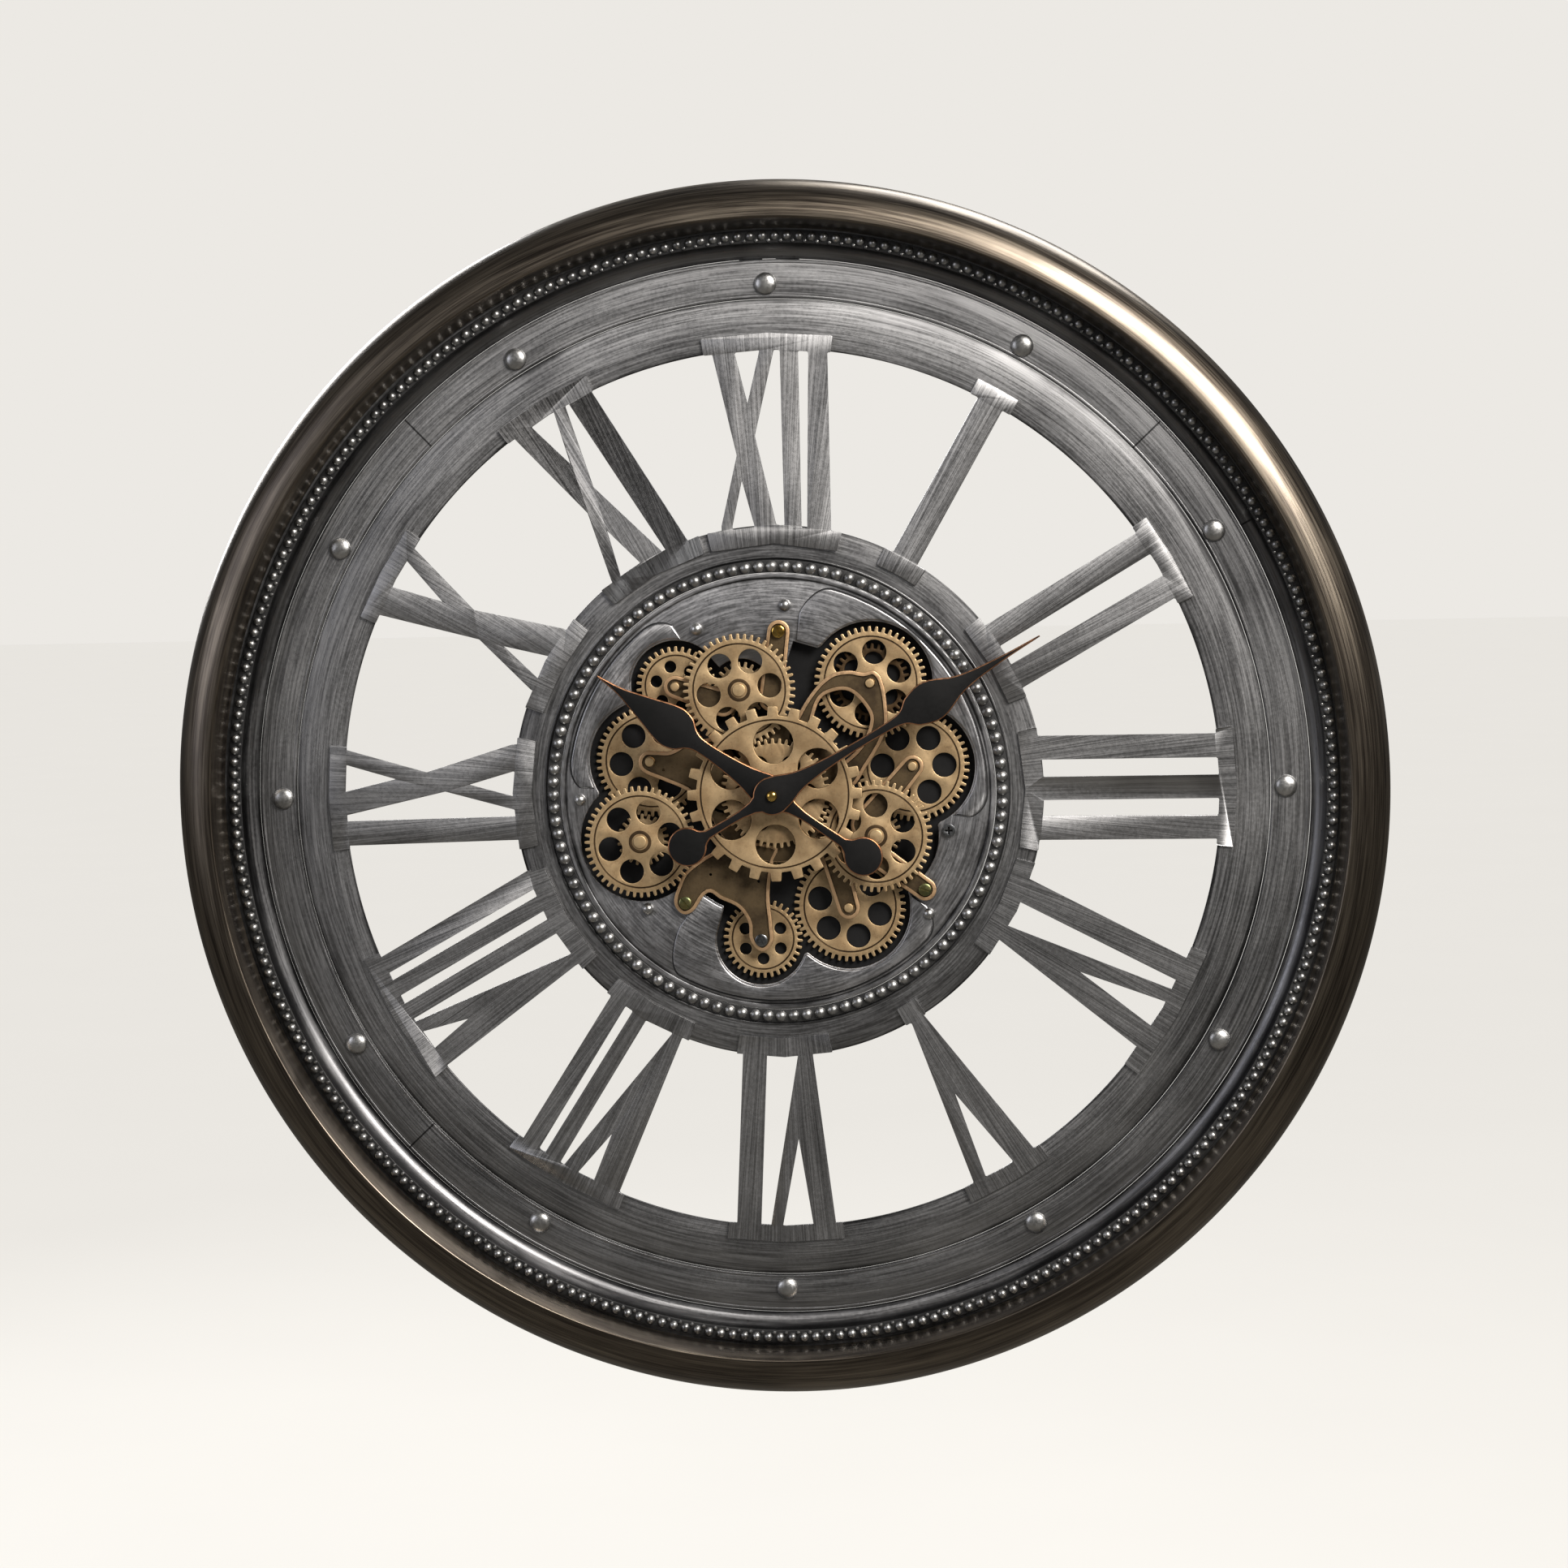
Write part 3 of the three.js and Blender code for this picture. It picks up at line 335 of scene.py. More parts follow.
def antique_bronze(name, dark, worn):
    material, tree, position = start_material(name)
    scratch_at = polar_vector(tree, position, 5, 1100)[0]
    streak_at = polar_vector(tree, position, 4, 260)[0]
    scratch = noise(tree, scratch_at, 1.0, 4.0, 0.6)
    streak = noise(tree, streak_at, 1.0, 4.0, 0.6)
    cloud = noise(tree, position, 7.0, 4.0, 0.6)
    broad_tone = fit(tree, streak, 0.35, 0.7, 0.1, 0.6)
    fine_tone = fit(tree, scratch, *NOISE_SPREAD, -0.15, 0.25)
    tone = calculate(tree, "ADD", broad_tone, fine_tone)
    colour = blend_colours(tree, tone, dark, worn)
    colour = blend_colours(tree, fit(tree, cloud, 0.45, 0.75, 0.0, 0.45), colour, "#2b2521")
    fine_rough = fit(tree, scratch, *NOISE_SPREAD, 0.24, 0.36)
    cloud_rough = fit(tree, cloud, *NOISE_SPREAD, 0.0, 0.08)
    rough = calculate(tree, "ADD", fine_rough, cloud_rough)
    bump = add(tree, "Bump", inputs={"Strength": 0.3, "Distance": 0.00012, "Height": scratch})
    finish_material(tree, add(tree, "BsdfPrincipled", inputs={
        "Base Color": colour, "Metallic": 1.0, "Roughness": rough, "Normal": bump,
        "Anisotropic": 0.4, "Coat Weight": 0.25, "Coat Roughness": 0.22,
    }))
    return material


# %% [markdown]
# ## Aged brass
# The gears are stamped from brass-plated sheet and dipped to look old. Aged brass is matte and
# sandy, with brown clouds of patina, darker pits, and a little speckle. The walls of teeth and
# holes kept the dip and are darker, and the worn edges are brighter, so a gear takes three such
# brasses: one for its faces, one for its edges and one for its walls.

# %% Brass finish


def aged_brass(name, base, patina, amount, roughness, speck=0.35):
    material, tree, position = start_material(name)
    cloud = noise(tree, position, 55.0, 5.0, 0.62)
    grain = noise(tree, position, 420.0, 3.0, 0.6)
    pit = noise(tree, position, 1300.0, 2.0)
    colour = blend_colours(tree, fit(tree, cloud, 0.38, 0.68, 0.0, amount), base, patina)
    colour = blend_colours(tree, fit(tree, grain, 0.5, 0.75, 0.0, speck), colour, "#3a2c1e")
    grain_rough = fit(tree, grain, *NOISE_SPREAD, roughness - 0.06, roughness + 0.08)
    cloud_rough = fit(tree, cloud, *NOISE_SPREAD, -0.03, 0.06)
    rough = calculate(tree, "ADD", grain_rough, cloud_rough)
    height = calculate(tree, "ADD", grain, calculate(tree, "MULTIPLY", pit, 0.5))
    bump = add(tree, "Bump", inputs={"Strength": 0.3, "Distance": 0.0001, "Height": height})
    finish_material(tree, add(tree, "BsdfPrincipled", inputs={
        "Base Color": colour, "Metallic": 0.9, "Roughness": rough, "Normal": bump,
    }))
    return material


# %% [markdown]
# ## Enamel, plastic, pewter and the small finishes
# The pan and the hands are stove-enamelled black, the movement is moulded ABS, the beads and
# rivets are pewter plated, and the nut is polished brass. They share one recipe: a colour, a
# second colour in soft clouds, a fine grain in the roughness, and a slight bump from the grain.

# %% Small finishes


def plain_finish(
    name, base, second, metallic, roughness, grain_per_metre, depth_mm, cloud=30.0, coat=0.0, shine=0.5,
):
    material, tree, position = start_material(name)
    patch = noise(tree, position, cloud, 4.0, 0.6)
    grain = noise(tree, position, grain_per_metre, 3.0, 0.6)
    colour = blend_colours(tree, fit(tree, patch, 0.35, 0.7), base, second)
    rough = fit(tree, grain, *NOISE_SPREAD, roughness - 0.05, roughness + 0.07)
    bump = add(tree, "Bump", inputs={"Strength": 0.4, "Distance": depth_mm * MM, "Height": grain})
    finish_material(tree, add(tree, "BsdfPrincipled", inputs={
        "Base Color": colour, "Metallic": metallic, "Roughness": rough, "Normal": bump,
        "Coat Weight": coat, "Coat Roughness": 0.2, "Specular IOR Level": shine,
    }))
    return material


bead_pewter = plain_finish("bead_pewter", "#b4b4b3", "#7d7d7d", 1.0, 0.38, 900, 0.05, 90)
bead_bed = plain_finish("bead_bed_patina", "#39393a", "#4b4b4b", 0.9, 0.5, 700, 0.06)
rivet_pewter = plain_finish("rivet_pewter", "#c2c2c1", "#959594", 1.0, 0.34, 700, 0.04, 60)
black_enamel = plain_finish("black_enamel", "#09090a", "#111112", 0.0, 0.62, 500, 0.06, shine=0.25)
hand_black = plain_finish("hand_black_enamel", "#060606", "#0d0c0c", 0.0, 0.55, 600, 0.04, shine=0.22)
hand_copper = plain_finish("hand_copper_edge", "#d19a74", "#a06d4b", 1.0, 0.34, 500, 0.04, 70)
nut_brass = plain_finish("polished_nut_brass", "#d9b766", "#b99043", 1.0, 0.18, 500, 0.01)
screw_brass = plain_finish("green_screw_brass", "#8d8458", "#5f6a4b", 1.0, 0.36, 600, 0.04, 120)
screw_steel = plain_finish("screw_steel", "#8f9193", "#5f6163", 1.0, 0.3, 600, 0.03, 90)
black_plastic = plain_finish("moulded_abs", "#151516", "#1b1b1c", 0.0, 0.48, 1500, 0.03)
hanger_steel = plain_finish("zinc_hanger_steel", "#9a9c9c", "#747676", 1.0, 0.38, 240, 0.03, 50)
cell_jacket = plain_finish("cell_jacket", "#2f3d4d", "#28333f", 0.4, 0.3, 900, 0.01, coat=0.4)
cell_zinc = plain_finish("cell_zinc_end", "#b8b9ba", "#9a9b9c", 1.0, 0.28, 800, 0.02)

gear_brass = aged_brass("gear_brass_face", "#bba27d", "#8d7454", 0.7, 0.56, 0.3)
gear_edge = aged_brass("gear_brass_worn_edge", "#d2b88f", "#ab8e66", 0.5, 0.46, 0.15)
gear_wall = aged_brass("gear_brass_dark_wall", "#86704f", "#55432f", 0.8, 0.6)
# Patina in the engraved grooves, and painted shade on hub collars and on pinions hidden behind wheels.
groove_dark = aged_brass("gear_groove_patina_and_painted_shade", "#54432f", "#32271c", 0.8, 0.6)
bridge_rim = aged_brass("bridge_raised_rim", "#d8b48c", "#ab8862", 0.4, 0.4, 0.12)
bridge_floor = aged_brass("bridge_pressed_floor", "#64553f", "#3a3025", 0.85, 0.58, 0.4)
GEAR_FINISH = [gear_brass, gear_edge, gear_wall, groove_dark]
print("finishes:", len(bpy.data.materials))

# %% [markdown]
# ## Turned pieces
# A ring, a dome or a knob is a profile turned about an axis. The bmesh spin operator does what a
# lathe does. A closed profile of a wall's thickness gives a solid ring, and a profile that begins
# and ends on the axis gives a solid dome, whose pole is welded afterwards.

# %% Turning
RING_STEPS = 288


def turn(bm, profile, steps=RING_STEPS, at=(0, 0), material=0):
    """Spins a profile of (radius, depth) pairs, closed on itself or on the axis, about a point."""
    before = set(bm.faces)
    points = [bm.verts.new((at[0] + radius, at[1], depth)) for radius, depth in profile]
    pairs = list(zip(points, points[1:]))
    if profile[0][0] > 0:
        pairs.append((points[-1], points[0]))
    edges = [bm.edges.new(pair) for pair in pairs]
    bmesh.ops.spin(
        bm, geom=points + edges, cent=(at[0], at[1], 0), axis=(0, 0, 1), dvec=(0, 0, 0),
        angle=math.tau, steps=steps, use_merge=True, use_duplicate=False,
    )
    fresh = [face for face in bm.faces if face not in before]
    corners = list({vert for face in fresh for vert in face.verts})
    bmesh.ops.remove_doubles(bm, verts=corners, dist=0.0005)
    fresh = [face for face in bm.faces if face not in before]
    for face in fresh:
        face.material_index = material
    return fresh


def rounded(inner, outer, back, front, edge, steps=3):
    """The profile of a flat ring whose front edges are rounded."""
    left = arc((inner + edge, front - edge), (edge, edge), 180, 90, steps)
    right = arc((outer - edge, front - edge), (edge, edge), 90, 0, steps)
    return [(inner, back)] + left + right + [(outer, back)]


# %% [markdown]
# ## The rim
# The rim is one rolled sheet of 1.2 mm: a flange on the wall, a straight side, a broad rounded
# shoulder up to the crest and a steep slope in to the lip, whose edge is turned under. Its hollow
# back is open, so the profile follows the sheet out and back again.

# %% Rim
SHEET = 1.2
rim_high = face_box("bezel_rim")[1]
RIM_RADIUS = rim_high.x
RIM_DEPTH = rim_high.z
CREST_WIDTH = 26
SHOULDER_HEIGHT = 23
SLOPE_WIDTH = 5.5
SLOPE_HEIGHT = 19
FLANGE_WIDTH = 15

crest = RIM_RADIUS - CREST_WIDTH
lip = crest - SLOPE_WIDTH
lip_depth = RIM_DEPTH - SLOPE_HEIGHT
shoulder_depth = RIM_DEPTH - SHOULDER_HEIGHT
CREST_ROUND = 1.6
rim_profile = [(RIM_RADIUS - FLANGE_WIDTH, 0), (RIM_RADIUS - 1, 0), (RIM_RADIUS, 1)]
rim_profile += arc((crest, shoulder_depth), (CREST_WIDTH, SHOULDER_HEIGHT), 0, 84, 18)
rim_profile += arc((crest + 1.0, RIM_DEPTH - CREST_ROUND), (CREST_ROUND, CREST_ROUND), 84, 166, 5)
rim_profile += arc((lip + 0.6, lip_depth + 0.6), (0.6, 0.6), 180, 300, 4)
rim_profile += [(lip + SHEET, lip_depth + 0.4), (crest + 0.6, RIM_DEPTH - CREST_ROUND - 1.4)]
rim_profile += arc((crest, shoulder_depth), (CREST_WIDTH - SHEET, SHOULDER_HEIGHT - SHEET), 84, 0, 12)
rim_profile += [(RIM_RADIUS - SHEET, SHEET), (RIM_RADIUS - FLANGE_WIDTH, SHEET)]

rim_bronze = antique_bronze("antique_bronze_rim", "#403933", "#8d8375")
bm = bmesh.new()
turn(bm, rim_profile, steps=360)
keep("rim", bm, [rim_bronze], ["bezel_rim"])

# %% [markdown]
# ## Cove, rivet band and chapter ring
# Inside the rim a hollow cove leads down to two flat rings. The rivet band carries twelve domed
# rivets between two fine raised lines, and the chapter ring carries the numerals. A dark line of
# painted shade follows each edge of the band, where one sheet laps the next, and each edge of the
# cove and of the chapter ring has one too.

# %% Cove and flat rings
FACE_EDGE = 0.5
bead_low, bead_high = depths("outer_bead_trim")
bead_outer = face_box("outer_bead_trim")[1].x
BEAD_STRIP = 8.4
bead_inner = bead_outer - BEAD_STRIP
COVE_WIDTH = 9.2
cove_inner = bead_inner - COVE_WIDTH
flange_depth = depths("cove_ring")[1]
face_front = depths("rivet_band")[1]
band_outer = face_box("rivet_band")[1].x
chapter_outer = face_box("chapter_ring")[1].x
BAND_WIDTH = 25.6
band_inner = band_outer - BAND_WIDTH
CHAPTER_WIDTH = 32.3
chapter_inner = chapter_outer - CHAPTER_WIDTH
cove_height = flange_depth - face_front
LIP_LAP = 2.5  # the cove's flange passes this far out behind the rim's lip
cove_profile = arc((cove_inner, flange_depth), (COVE_WIDTH, cove_height), -90, 0, 10)
cove_profile += [(lip + LIP_LAP, flange_depth), (lip + LIP_LAP, flange_depth - SHEET)]
cove_profile += [(cove_inner + COVE_WIDTH + SHEET, flange_depth - SHEET)]
cove_profile += arc((cove_inner, flange_depth), (COVE_WIDTH + SHEET, cove_height + SHEET), -8, -90, 8)

# The radius and width pairs below are where painted shade darkens each ring next to its neighbour.
cove_metal = gunmetal(
    "cove_gunmetal", "#4d4d4f", "#959596", [(cove_inner, 2.0), (bead_inner, 3.0)],
    roughness=0.36, seams=(61,),
)
band_metal = gunmetal(
    "rivet_band_gunmetal", "#626263", "#b3b3b4", [(band_outer, 1.6), (band_inner, 1.6)],
    seams=(47, 227, 316),
)
chapter_metal = gunmetal(
    "chapter_ring_gunmetal", "#626263", "#b8b8b9", [(chapter_outer, 3.2), (chapter_inner, 2.2)],
)
bm = bmesh.new()
turn(bm, cove_profile)
keep("cove", bm, [cove_metal], ["cove_ring"])

bm = bmesh.new()
turn(bm, rounded(band_inner, band_outer, face_front - SHEET, face_front, FACE_EDGE))
for inner, outer in ((band_inner + 0.9, band_inner + 2.5), (band_outer - 2.5, band_outer - 0.9)):
    turn(bm, rounded(inner, outer, face_front - 0.5, face_front + 0.35, 0.3))
keep("riveted_band", bm, [band_metal], ["rivet_band"])

bm = bmesh.new()
turn(bm, rounded(chapter_inner, chapter_outer, face_front - SHEET, face_front, FACE_EDGE))
keep("numeral_ring", bm, [chapter_metal], ["chapter_ring"])

# %% [markdown]
# ## Beads
# Both bead strips are pressed trim: a row of domes on a narrow bed. The outer strip has 285 beads
# with a small pearl between each two, the inner strip 108 larger beads. One bead is made and the
# spin operator copies it round, so each bead has only a few dozen faces.

# %% Bead strips


def ring_of_beads(bm, count, radius, size, depth, floor, detail, offset=0.0):
    """Copies one bead, flattened where it meets the back of its strip, round the clock's axis."""
    start = polar(offset, radius)
    bead = bmesh.ops.create_uvsphere(
        bm, u_segments=detail, v_segments=detail - 3, radius=size,
        matrix=Matrix.Translation((start.x, start.y, depth)),
    )["verts"]
    for vert in bead:
        vert.co.z = max(vert.co.z, floor)
    faces = list({face for vert in bead for face in vert.link_faces})
    edges = list({edge for vert in bead for edge in vert.link_edges})
    bmesh.ops.spin(
        bm, geom=bead + edges + faces, cent=(0, 0, 0), axis=(0, 0, 1), dvec=(0, 0, 0),
        angle=math.tau * (count - 1) / count, steps=count - 1, use_duplicate=True,
    )


OUTER_BEADS = 285
INNER_BEADS = 108
BEAD_SIZE = 3.05
PEARL_SIZE = 1.25
PEARL_INSET = 3.1
BEAD_FLOOR = 0.1  # the beads' flat backs lie this far in front of their strip's back
outer_middle = bead_outer - BEAD_STRIP / 2 + 0.4
bm = bmesh.new()
turn(bm, rounded(bead_inner, bead_outer, bead_low, bead_low + 1.1, 0.3), material=1)
outer_floor = bead_low + BEAD_FLOOR
ring_of_beads(bm, OUTER_BEADS, outer_middle, BEAD_SIZE, bead_high - BEAD_SIZE, outer_floor, 9)
pearl_middle = outer_middle - PEARL_INSET
ring_of_beads(bm, OUTER_BEADS, pearl_middle, PEARL_SIZE, bead_low + 1.7, outer_floor, 7, 180 / OUTER_BEADS)
keep("outer_beads", bm, [bead_pewter, bead_bed], ["outer_bead_trim"])

inner_low, inner_high = depths("inner_bead_trim")
trim_outer = face_box("inner_bead_trim")[1].x
trim_inner = trim_outer - BEAD_STRIP
INNER_BEAD_SIZE = 4.0
bm = bmesh.new()
turn(bm, rounded(trim_inner, trim_outer, inner_low, inner_low + 0.9, 0.3), material=1)
inner_middle = (trim_inner + trim_outer) / 2
inner_bead_depth = inner_high - INNER_BEAD_SIZE
ring_of_beads(bm, INNER_BEADS, inner_middle, INNER_BEAD_SIZE, inner_bead_depth, inner_low + BEAD_FLOOR, 12)
keep("inner_beads", bm, [bead_pewter, bead_bed], ["inner_bead_trim"])

# %% [markdown]
# ## Rivets
# Each rivet head is a turned dome with a thin rim at its foot, where the hammer stopped. The
# twelve on the band are alike, so a loop makes them, each where the frame has it.

# %% Rivets on the band
RIVET_COUNT = 12


def dome(radius, back, front, foot=0.5, steps=7):
    """The profile of a rivet head: a short foot and a dome that ends on the axis."""
    return arc((0, back + foot), (radius, front - back - foot), 90, 0, steps) + [(radius, back), (0, back)]


for number in range(1, RIVET_COUNT + 1):
    low, high = face_box(f"ring_rivet_{number}")
    middle = (low + high) / 2
    bm = bmesh.new()
    turn(bm, dome((high.x - low.x) / 2, low.z, high.z), steps=32, at=middle.xy)
    keep(f"band_rivet_{number}", bm, [rivet_pewter], [f"ring_rivet_{number}"])

# %% [markdown]
# ## Flat plates
# A gear, a hand or a bridge arm is sheet metal with an outline and some holes. Such a plate starts
# as closed chains of edges. The triangle fill operator covers what lies between them, an extrusion
# gives the thickness, and small insets that climb a quarter circle round the front edge over.

# %% Plates
FACE, EDGE, WALL, GROOVE = range(4)  # a plate's materials, in this order


def chain(bm, points, depth):
    """A closed chain of edges through face points."""
    verts = [bm.verts.new((point[0], point[1], depth)) for point in points]
    return [bm.edges.new(pair) for pair in zip(verts, verts[1:] + verts[:1])]


def hole(bm, centre, radius, depth, segments=28):
    """A circle of edges."""
    made = bmesh.ops.create_circle(
        bm, segments=segments, radius=radius, matrix=Matrix.Translation((centre[0], centre[1], depth)),
    )
    return list({edge for vert in made["verts"] for edge in vert.link_edges})


def fill(bm, *chains):
    """Covers the flat area between chains of edges."""
    edges = [edge for chain_edges in chains for edge in chain_edges]
    made = bmesh.ops.triangle_fill(bm, edges=edges, normal=(0, 0, 1), use_beauty=True)
    return [item for item in made["geom"] if isinstance(item, bmesh.types.BMFace)]


def corners_of(faces):
    return {vert for face in faces for vert in face.verts}


def thicken(bm, faces, back, front, edge=0.35, steps=2, materials=(FACE, EDGE, WALL)):
    """Gives flat faces a wall and a rounded front edge. Returns the front faces."""
    made = bmesh.ops.extrude_face_region(bm, geom=faces)
    top = [item for item in made["geom"] if isinstance(item, bmesh.types.BMFace)]
    for vert in corners_of(top):
        vert.co.z += front - edge - back
    for vert in corners_of(faces):
        vert.co.z = back
    walls = {face for vert in corners_of(faces) for face in vert.link_faces} - set(top)
    for face in walls:
        face.material_index = materials[2]
    for step in range(steps):
        low = math.pi / 2 * step / steps
        high = math.pi / 2 * (step + 1) / steps
        ring = bmesh.ops.inset_region(
            bm, faces=top, thickness=edge * (math.cos(low) - math.cos(high)), depth=0,
            use_even_offset=True, use_boundary=True,
        )["faces"]
        for face in ring:
            face.material_index = materials[1]
        for vert in corners_of(top):
            vert.co.z += edge * (math.sin(high) - math.sin(low))
    for face in top:
        if face.material_index != GROOVE:
            face.material_index = materials[0]
    return top


def press_in(bm, faces, rim, depth, slope=0.5, material=0, floor=1):
    """Leaves a raised rim round flat faces and presses the rest in."""
    band = bmesh.ops.inset_region(
        bm, faces=faces, thickness=rim, depth=0, use_even_offset=True, use_boundary=True,
    )
    wall = bmesh.ops.inset_region(
        bm, faces=faces, thickness=slope, depth=0, use_even_offset=True, use_boundary=True,
    )
    for vert in corners_of(faces):
        vert.co.z -= depth
    for face in band["faces"]:
        face.material_index = material
    for face in wall["faces"] + list(faces):
        face.material_index = floor


# %% [markdown]
# ## Gear wheels
# A wheel's outline is one tooth, drawn from the middle of one gap to the middle of the next, and
# copied round by the spin operator. Its place comes from the joint that it turns on, and its first
# tooth from the tooth tips of the frame's own wheel, so that the fine teeth mesh as the frame's do.
# The large wheels have an engraved circle inside their teeth, a shallow groove between two rings.

# %% Wheel helpers
MODULE = 1.52
TOOTH_TIP = 0.8
TOOTH_DEPTH = 3.5


def layer_of(node):
    """The depths of a wheel's disc: those of the tips of its teeth."""
    axis = AXES[f"{node}_body"]
    points = [TO_FACE @ vert.co for vert in frame["nodes"][node].data.vertices]
    reach = max((point - axis).xy.length for point in points)
    tips = [point.z for point in points if (point - axis).xy.length > reach - 0.05]
    return min(tips), max(tips)


LAYERS = {
    "rear": depths("drive_wheel_rear"),
    "middle": layer_of("gear_small_upper"),
    "front": depths("drive_wheel_front"),
}


def first_tooth(node, axis, layer):
    """The angle of one tooth tip of the frame's wheel in that layer, in radians."""
    back, front = LAYERS[layer]
    points = [TO_FACE @ vert.co for vert in frame["nodes"][node].data.vertices]
    inside = [point for point in points if back - 0.1 < point.z < front + 0.1]
    tip = max(inside, key=lambda point: (point - axis).xy.length)
    return math.atan2(tip.y - axis.y, tip.x - axis.x)


def both_flanks(half):
    """A whole tooth from its first half: the second is the mirror image."""
    return half + [(radius, -share) for radius, share in reversed(half)]


def pitch_tooth(teeth):
    """One tooth as (radius, share of the pitch) pairs: straight flanks and a rounded tip."""
    tip = teeth * MODULE / 2 + TOOTH_TIP
    root = tip - TOOTH_DEPTH
    return both_flanks([
        (root, -0.5), (root, -0.3), (root + 0.5, -0.25), (tip - 0.7, -0.2), (tip - 0.15, -0.15), (tip, -0.08),
    ])


def tooth_chain(bm, at, teeth, tooth, phase, depth):
    """The closed outline of a wheel, from one tooth copied round."""
    before = set(bm.edges)
    pitch = math.tau / teeth
    verts = []
    for radius, share in tooth:
        angle = phase + share * pitch
        x, y = at[0] + radius * math.cos(angle), at[1] + radius * math.sin(angle)
        verts.append(bm.verts.new((x, y, depth)))
    edges = [bm.edges.new(pair) for pair in zip(verts, verts[1:])]
    bmesh.ops.spin(
        bm, geom=verts + edges, cent=(at[0], at[1], depth), axis=(0, 0, 1), dvec=(0, 0, 0),
        angle=math.tau - pitch, steps=teeth - 1, use_duplicate=True,
    )
    fresh = [edge for edge in bm.edges if edge not in before]
    ends = list({vert for edge in fresh for vert in edge.verts})
    bmesh.ops.remove_doubles(bm, verts=ends, dist=0.01)
    return [edge for edge in bm.edges if edge not in before]


def wheel_outline(bm, node, axis, teeth, layer):
    """The outline of a wheel or pinion of the frame, at the back of its layer."""
    phase = first_tooth(node, axis, layer)
    return tooth_chain(bm, axis, teeth, pitch_tooth(teeth), phase, LAYERS[layer][0])


GROOVE_WIDTH = 0.55  # each of a groove's two flanks


def wheel_disc(bm, at, outline, back, front, holes=(), groove=None, materials=(FACE, EDGE, WALL)):
    """A wheel's disc, with round holes as (centre, radius) pairs and an engraved circle."""
    cut = [hole(bm, centre, radius, back) for centre, radius in holes]
    if groove is None:
        faces = fill(bm, outline, *cut)
    else:
        outer = hole(bm, at, groove + GROOVE_WIDTH, back, 96)
        middle = hole(bm, at, groove, back - 0.5, 96)
        inner = hole(bm, at, groove - GROOVE_WIDTH, back, 96)
        faces = fill(bm, outline, outer) + fill(bm, inner, *cut)
        for pair in ((outer, middle), (middle, inner)):
            band = bmesh.ops.bridge_loops(bm, edges=pair[0] + pair[1])["faces"]
            for face in band:
                face.material_index = GROOVE
            faces += band
    thicken(bm, faces, back, front, materials=materials)


def hole_ring(at, count, orbit, radius, start):
    """Round holes spaced evenly about a wheel's axis, the first at a clock angle."""
    holes = []
    for i in range(count):
        turn_angle = math.radians(start + 360 / count * i)
        centre = (at[0] + orbit * math.sin(turn_angle), at[1] + orbit * math.cos(turn_angle))
        holes.append((centre, radius))
    return holes


def flat_pin(radius, back, front, edge=0.5):
    """The profile of an arbor's end: a flat face with a rounded edge."""
    rounding = arc((radius - edge, front - edge), (edge, edge), 90, 0, 3)
    return [(0, front)] + rounding + [(radius, back), (0, back)]


HUB_PIN_RADIUS = 4.3


def hub(bm, at, front, top):
    """A wheel's hub: a dished collar darkened as painted shade, and the flat bright end of its arbor."""
    dish = [(0, front - 0.3), (5.1, front - 0.3), (5.6, front + 0.2)]
    collar = [(7.1, front + 0.3), (7.6, front + 0.05), (7.6, front - 0.6), (0, front - 0.6)]
    turn(bm, dish + collar, 40, at, material=GROOVE)
    turn(bm, flat_pin(HUB_PIN_RADIUS, front - 0.5, top), 32, at, material=EDGE)


# %% [markdown]
# ## The nine outer wheels
# Seven large wheels have 48 teeth and six big holes, two small ones have 34 teeth and six small
# holes. Some carry a pinion in another layer, on the same arbor. Three of the large ones run in
# front of the bridge and show their hubs; the others have their arbors' ends in the bridge.

# %% Outer wheels
LARGE = 48
SMALL = 34
# By tooth count: the six holes' orbit and radius, and the radius of the engraved circle.
STAMPINGS = {LARGE: (20.5, 8.1, 30.6), SMALL: (13.5, 4, 20.6)}
WHEELS = {
    "gear_top_left": {"layer": "front", "teeth": LARGE, "holes": 22, "pinions": [("middle", 23)]},
    "gear_small_upper": {"layer": "middle", "teeth": SMALL, "holes": 45, "pinions": []},
    "gear_top_right": {"layer": "middle", "teeth": LARGE, "holes": 8, "pinions": [("rear", 33)]},
    "gear_left": {"layer": "rear", "teeth": LARGE, "holes": 25, "pinions": []},
    "gear_lower_left": {"layer": "front", "teeth": LARGE, "holes": 17, "pinions": [("rear", 22)]},
    "gear_right": {"layer": "rear", "teeth": LARGE, "holes": 30, "pinions": []},
    "gear_lower_right": {"layer": "front", "teeth": LARGE, "holes": 0, "pinions": [("rear", 20)]},
    "gear_bottom_right": {"layer": "rear", "teeth": LARGE, "holes": 45, "pinions": []},
    "gear_small_lower": {"layer": "rear", "teeth": SMALL, "holes": 0, "pinions": []},
}
ARBOR_RADIUS = 3
WIDE_PINION = 30  # a pinion with more teeth shows through its wheel's holes, so it is dark and pierced
